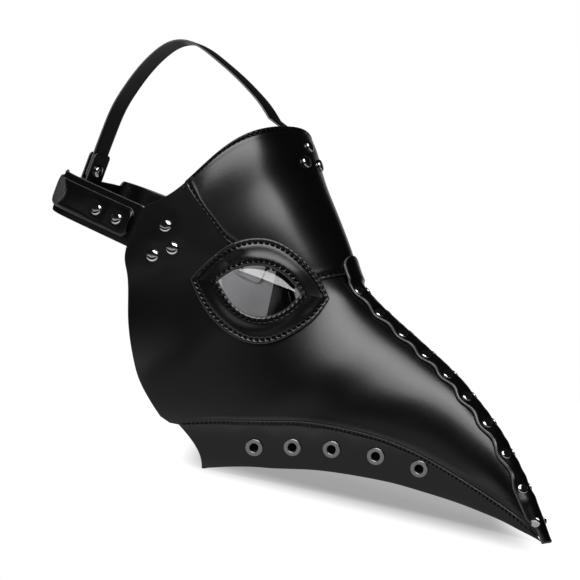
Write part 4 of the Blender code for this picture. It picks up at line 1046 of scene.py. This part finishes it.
def head_straps():
    """Side straps, back strap with its rivets, and the loop that the top strap hangs from."""
    tab_s = SIDE_STRAP_FRONT + (4.0 - SIDE_STRAP_FRONT) * eased(34, 0.7)
    half = 0.5 * (SIDE_STRAP_WIDTH + (SIDE_TAB_WIDTH - SIDE_STRAP_WIDTH) * smooth((tab_s - 8) / 10))
    across, high, mark = section(cut_end(SIDE_STRAP_FRONT - tab_s, half, TAB_CORNER), STRAP_THICK, 0.0)
    s = tab_s[:, None] + 0 * across
    tab = drape(on_strap_plane(-s, across), high - GAP - STRAP_THICK / 2)
    free_s = 3.0 + (SIDE_STRAP_END - 3.0) * np.linspace(0, 1, 90)
    half = cut_end(SIDE_STRAP_END - free_s, np.full(90, 0.5 * SIDE_STRAP_WIDTH), SIDE_CORNER)
    across, high, _ = section(half, STRAP_THICK, 0.0)
    free = strap_point(free_s[:, None] + 0 * across, across, high - STRAP_THICK / 2)
    rings = np.concatenate([tab, free])
    marks = strap_marks(mark, len(rings))
    marks["inside"][:len(tab)] = high < 0.35 * STRAP_THICK
    both("side_strap_leather", tube(rings), strap_leather, "side_strap", **marks)

    loop_end = PLAN_STRAIGHT + plan[-1, 1]
    at = np.array(BACK_RIVETS)
    loop_s = BACK_STRAP_FRONT + (loop_end - BACK_STRAP_FRONT) * np.linspace(0, 1, 190) ** 1.25
    half = cut_end(loop_s - BACK_STRAP_FRONT, np.full(190, 0.5 * BACK_STRAP_WIDTH), BACK_CORNER)
    across, high, mark = section(half, STRAP_THICK, BACK_CROWN)
    pull = np.min([np.hypot(loop_s[:, None] - one, across) for one in at], axis=0)
    crease = CREASE - CREASE_BOW * (1 - (across / half[:, None]) ** 2)
    past = loop_s[:, None] - crease
    press = RIVET_PULL * bell(pull, 0, RIVET_PULL_WIDE)
    press = press + PRESS_DEEP * smooth(past / 2) * smooth((PRESS_END - loop_s[:, None]) / PRESS_FADE)
    high = high - np.where(high > 0, press, 0.0)
    away = smooth((loop_end - loop_s - LOOP_TRAVEL) / LOOP_EASE)[:, None]
    high = np.where(high > 0.5 * STRAP_THICK, 0.5 * STRAP_THICK + (high - 0.5 * STRAP_THICK) * away, high)
    rings = strap_point(loop_s[:, None] + 0 * across, across, high + GAP + STRAP_THICK / 2)
    rings = np.concatenate([rings, rings[-2::-1] * (1, -1, 1)])
    marks = strap_marks(mark, len(rings))
    # Painted light on the back strap: a painted highlight line along the crease and a painted reflection of
    # the bend past it.
    painted_bend_reflection = BEND_REFLECTION * smooth(past) * smooth((BEND_REFLECTION_END - loop_s[:, None]) / BEND_REFLECTION_FADE)
    painted_crease_light = np.where(high > 0, np.maximum(bell(past, 0, CREASE_HIGHLIGHT_WIDE), painted_bend_reflection), 0)
    marks["worn_and_highlight"] = np.maximum(marks["worn_and_highlight"], np.concatenate([painted_crease_light, painted_crease_light[-2::-1]]))
    piece("back_strap_leather", tube(rings), strap_leather, ["back_strap"], **marks)
    zero = np.zeros(len(at))
    place = strap_point(at, zero, zero)
    normal = strap_point(at, zero, zero + 1) - place
    shape = rivets(place, normal, GAP + STRAP_THICK, -STRAP_THICK)
    both("strap_rivets", shape, chrome, "strap_rivet", len(at))
    return strap_point(np.array([loop_end]), np.zeros(1), np.array([GAP + STRAP_THICK / 2]))[0]

def strap_loop(rear):
    """Strap loop: a strip carried down one leg, round a half circle under the back strap and up the other,
    with a rivet that also holds the top strap's end."""
    slot, foot = STRAP_THICK / 2 + KEEPER_ROOM, BACK_STRAP_WIDTH / 2 + KEEPER_ROOM
    out, up = np.array([BACK_DIR[0], 0.0, BACK_DIR[1]]), np.array([WIDE_DIR[0], 0.0, WIDE_DIR[1]])
    radius = slot + LEATHER / 2
    leg = np.linspace(KEEPER_RISE, radius - foot - LEATHER / 2, 50)
    bend = np.linspace(0, np.pi, 24)[1:-1]
    sides = np.concatenate([0 * leg - radius, -radius * np.cos(bend), 0 * leg + radius])
    tall = np.concatenate([leg, leg[-1] - radius * np.sin(bend), leg[::-1]])
    facing = np.concatenate([0 * leg - 1, -np.cos(bend), 0 * leg + 1])
    falling = np.concatenate([0 * leg, -np.sin(bend), 0 * leg])
    length = lengths(np.stack([sides, tall], -1))
    whole = np.full(len(length), KEEPER_WIDTH / 2)
    half = cut_end(np.minimum(length, length[-1] - length), whole, LOOP_CORNER)
    across, high, mark = section(half, LEATHER, 0.0)
    pull = bell(np.hypot(tall[:, None] - KEEPER_RIVET, across), 0, 6.0)
    high = high - 0.3 * np.where(high > 0, pull, 0.0)
    rings = (rear + (sides[:, None] + high * facing[:, None])[..., None] * out
             + (tall[:, None] + high * falling[:, None])[..., None] * up
             + across[..., None] * (0.0, 1.0, 0.0))
    piece("strap_loop_leather", tube(rings), strap_leather, ["strap_loop"], "keeper",
          **strap_marks(mark, len(rings)))
    shape = rivet_shape(rear + KEEPER_RIVET * up, -out, slot + LEATHER, -slot - LEATHER)
    piece("strap_loop_rivet_caps", shape, chrome, ["strap_loop_rivet"], "keeper")

def top_strap(rear):
    """Top strap: a tab inside the forehead, then a free arch along a spline down into the loop."""
    tab_t = TOP_TAB_FRONT + (8.0 - TOP_TAB_FRONT) * eased(34, 0.7)
    half = 0.5 * (TOP_STRAP_WIDTH + (TOP_TAB_WIDTH - TOP_STRAP_WIDTH) * smooth((tab_t - 9) / 12))
    across, high, mark = section(cut_end(TOP_TAB_FRONT - tab_t, half, TAB_CORNER), STRAP_THICK, 0.0)
    u = np.sign(across) * u_at(tab_t, np.abs(across))
    tab = skin_offset(tab_t[:, None] + 0 * across, u, high + STEP - GAP - STRAP_THICK / 2)
    foot = BACK_STRAP_WIDTH / 2 + KEEPER_ROOM
    lower = rear[[0, 2]] + np.array([KEEPER_RISE + 1.5, KEEPER_RIVET, foot + 0.6])[:, None] * WIDE_DIR
    knots = np.vstack([TOP_STRAP_PATH[::-1], lower])
    knot_at = lengths(knots)
    where = np.linspace(0, knot_at[-1], 150)
    path = spline(knot_at, knots)(where)
    slope = unit(np.gradient(path, axis=0))
    out = np.stack([slope[:, 1], -slope[:, 0]], -1)
    half = cut_end(where[-1] - where, np.full(150, 0.5 * TOP_STRAP_WIDTH), LOOP_CORNER)
    across, high, _ = section(half, STRAP_THICK, 0.0)
    side = path[:, None] + high[..., None] * out[:, None]
    arch = np.stack([side[..., 0], -across, side[..., 1]], -1)
    rings = np.concatenate([tab, arch])
    made = piece("top_strap_leather", tube(rings), strap_leather, ["top_strap"], None,
                 **strap_marks(mark, len(rings)))
    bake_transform(made)

side_panels()
forehead()
jaw_bands()
ridge_strip()
eyes()
seam_threads()
metal_fittings()
rear_middle = head_straps()
strap_loop(rear_middle)
top_strap(rear_middle)

# Camera, from the photograph's view: direction, roll about it, distance, and focal length in pixels
VIEW_AZIMUTH, VIEW_ELEVATION, VIEW_ROLL = math.radians(24.0), math.radians(1.5), math.radians(10.788)
VIEW_MIDDLE, VIEW_DISTANCE = np.array([21.18, 0.0, 130.43]), 1400.0
SENSOR, FOCAL_PIXELS, PHOTO_PIXELS = 36.0, 2000, 580
# Floor, in metres: its paint and shift backwards, then the painted shadow's middle, half sizes, slant and
# rounding
FLOOR_PAINT, FLOOR_BACK, FLOOR_SIDES = 0.12, 0.71, 64
FOOT_MIDDLE, FOOT_LONG, FOOT_WIDE = (-0.1325, 0.42, 0.0), 0.126, 0.475
FOOT_SLANT, FOOT_CORNER = math.tan(VIEW_AZIMUTH), 0.25
# The floor's white in the painted shadow and where the painted shadow ends, as shares of its half size
FLOOR_GLOW, FOOT_EDGE = 0.33, (0.85, 1.1)
# The floor's sheen in gloss, in the strip before the mask and under it, and the depths where each one ends
FRONT_SHEEN, FLOOR_SHEEN, STRIP_END, SHEEN_END = 1.1, 0.45, (-0.2, -0.13), (0.3, 0.6)
# The depths between which the floor starts to be seen through the lens
LENS_FLOOR = (-0.1, 0.0)
# Studio, as levels of white: what gloss sees round a way behind the mask and elsewhere
BACKDROP_WAY, BACKDROP_EDGE = (-0.15, 0.97, -0.17), (0.86, 0.97)
ROOM_DARK, ROOM_WHITE = 0.01, 0.6
# A low white card in front, between two heights, round the way that the lens mirrors to the camera
MIRROR_WAY, LOW_CARD, CARD_EDGE = (0.2, -0.97, -0.1), 0.6, (0.2, 0.5)
CARD_FOOT, CARD_TOP = (-0.15, -0.09), (-0.05, 0.02)
# The backdrop through the lens, which is dark round the mirror way, and the fill light from front to rear
THROUGH_LENS, LENS_DARK = 0.65, (0.4, 0.6)
FILL_FRONT, FILL_REAR, FILL_EDGE = 0.12, 0.9, (-0.2, 0.6)
# Softboxes: the point that they are aimed at, in metres, their direction round the mask and their roll
LAMP_TARGET, LAMP_AZIMUTH, LAMP_ROLL = np.array([0.0, 0.0, 0.13]), math.radians(-67), math.radians(16)

def white_floor():
    """Floor disc that is white to the camera, like the backdrop. The mask's shadow on it is painted into the
    white as a slanted soft box: the larger of two distances from its middle, as shares of its half sizes.
    Gloss sees a sheen, brighter in a strip before the mask and gone far behind it. The lens shows only the
    floor behind it."""
    made = bpy.data.materials.new("white_floor")
    made.use_nodes = True
    tree = made.node_tree
    tree.nodes.clear()
    paint = add_node(tree, "ShaderNodeBsdfDiffuse", {"Color": (FLOOR_PAINT, FLOOR_PAINT, FLOOR_PAINT, 1)})
    where = add_node(tree, "ShaderNodeTexCoord").outputs["Object"]
    shifted = add_node(tree, "ShaderNodeVectorMath", {0: where, 1: FOOT_MIDDLE}, operation="SUBTRACT")
    ways = (1 / FOOT_LONG, FOOT_SLANT / FOOT_LONG, 0), (0, 1 / FOOT_WIDE, 0)
    shares = [maths(tree, "ABSOLUTE", along_way(tree, shifted.outputs["Vector"], way)) for way in ways]
    away = maths(tree, "SMOOTH_MAX", *shares, FOOT_CORNER)
    # Painted shadow: the floor's white is lowered inside the slanted box.
    glow = ranged(tree, away, *FOOT_EDGE, FLOOR_GLOW, 1.0, "SMOOTHSTEP")
    depth = add_node(tree, "ShaderNodeSeparateXYZ", {"Vector": where}).outputs["Y"]
    strip = ranged(tree, depth, *STRIP_END, FRONT_SHEEN, FLOOR_SHEEN, "SMOOTHSTEP")
    sheen = maths(tree, "MULTIPLY", strip, ranged(tree, depth, *SHEEN_END, 1.0, 0.0))
    ray = add_node(tree, "ShaderNodeLightPath").outputs
    passed = maths(tree, "MULTIPLY", ray["Is Transmission Ray"], ranged(tree, depth, *LENS_FLOOR))
    clear = maths(tree, "MULTIPLY", maths(tree, "MAXIMUM", ray["Is Camera Ray"], passed), glow)
    level = maths(tree, "MULTIPLY_ADD", ray["Is Glossy Ray"], sheen, clear)
    white = add_node(tree, "ShaderNodeEmission", {"Strength": level})
    total = add_node(tree, "ShaderNodeAddShader", {0: paint.outputs[0], 1: white.outputs[0]})
    add_node(tree, "ShaderNodeOutputMaterial", {"Surface": total.outputs[0]})
    angle = np.linspace(0, 2 * np.pi, FLOOR_SIDES, endpoint=False)
    disc = np.stack([np.cos(angle), np.sin(angle) + FLOOR_BACK, 0 * angle], -1)
    mesh = bpy.data.meshes.new("floor")
    mesh.from_pydata(disc.tolist(), [], [list(range(FLOOR_SIDES))])
    mesh.materials.append(made)
    floor = bpy.data.objects.new("floor", mesh)
    bpy.context.scene.collection.objects.link(floor)

def studio_world():
    """White backdrop for the camera. Gloss sees it behind the mask, a low white card in front and a dark room
    elsewhere. Through the lenses it is dimmer, and dark round the mirror way. Fill is strongest behind."""
    world = bpy.data.worlds.new("studio")
    bpy.context.scene.world = world
    world.use_nodes = True
    tree = world.node_tree
    tree.nodes.clear()
    way = add_node(tree, "ShaderNodeTexCoord").outputs["Generated"]
    behind = ranged(tree, along_way(tree, way, BACKDROP_WAY), *BACKDROP_EDGE, ROOM_DARK, ROOM_WHITE)
    fill = ranged(tree, along_way(tree, way, (-1, 0, 0)), *FILL_EDGE, FILL_FRONT, FILL_REAR)
    front = along_way(tree, way, MIRROR_WAY)
    height = add_node(tree, "ShaderNodeSeparateXYZ", {"Vector": way}).outputs["Z"]
    under = ranged(tree, height, *CARD_TOP, LOW_CARD, 0.0)
    card = maths(tree, "MULTIPLY", under, ranged(tree, height, *CARD_FOOT))
    room = maths(tree, "MULTIPLY_ADD", card, ranged(tree, front, *CARD_EDGE), behind)
    ray = add_node(tree, "ShaderNodeLightPath").outputs
    gloss = mixed(tree, ray["Is Glossy Ray"], fill, room)
    clear = ranged(tree, front, *LENS_DARK, THROUGH_LENS, 0.0)
    level = mixed(tree, ray["Is Camera Ray"], mixed(tree, ray["Is Transmission Ray"], gloss, clear), 1.0)
    sky = add_node(tree, "ShaderNodeBackground", {"Color": (1, 1, 1, 1), "Strength": level})
    add_node(tree, "ShaderNodeOutputWorld", {"Surface": sky.outputs[0]})

def rolled(right, up, roll):
    """A pair of directions turned about the third by an angle."""
    return math.cos(roll) * right + math.sin(roll) * up, math.cos(roll) * up - math.sin(roll) * right

def from_way(azimuth, elevation):
    """Unit direction at an angle round the mask from +X and an angle over the floor."""
    flat = math.cos(elevation)
    return np.array([math.cos(azimuth) * flat, math.sin(azimuth) * flat, math.sin(elevation)])

def stand(name, data, place, back, roll):
    """Places a lamp or camera that looks against back, level across and then rolled."""
    right = unit(np.cross((0, 0, 1), back))
    right, up = rolled(right, np.cross(back, right), roll)
    made = bpy.data.objects.new(name, data)
    made.matrix_world = Matrix(np.vstack([np.column_stack([right, up, back, place]), (0, 0, 0, 1)]).tolist())
    bpy.context.scene.collection.objects.link(made)
    return made

def softbox(name, elevation, distance, wide, tall, radiance):
    """Area lamp aimed at the mask's middle and rolled, with the power that gives this radiance."""
    way = from_way(LAMP_AZIMUTH, math.radians(elevation))
    lamp = bpy.data.lights.new(name, "AREA")
    lamp.shape = "RECTANGLE"
    lamp.size, lamp.size_y = wide, tall
    lamp.energy = radiance * math.pi * wide * tall
    stand(name, lamp, LAMP_TARGET + distance * way, way, LAMP_ROLL)

view_back = from_way(VIEW_AZIMUTH - math.pi / 2, VIEW_ELEVATION)
view_place = (VIEW_MIDDLE - (MIDDLE, 0, 0) + VIEW_DISTANCE * view_back) * MM
camera = stand("camera", bpy.data.cameras.new("camera"), view_place, view_back, VIEW_ROLL)
camera.data.lens = SENSOR * FOCAL_PIXELS / PHOTO_PIXELS
camera.data.sensor_width = SENSOR
bpy.context.scene.camera = camera
bpy.context.scene.view_settings.view_transform = "Standard"

white_floor()
studio_world()
softbox("key_softbox", elevation=41, distance=1.2, wide=1.25, tall=0.7, radiance=5.7)
softbox("core_softbox", elevation=42, distance=1.22, wide=1.2, tall=0.32, radiance=2.7)
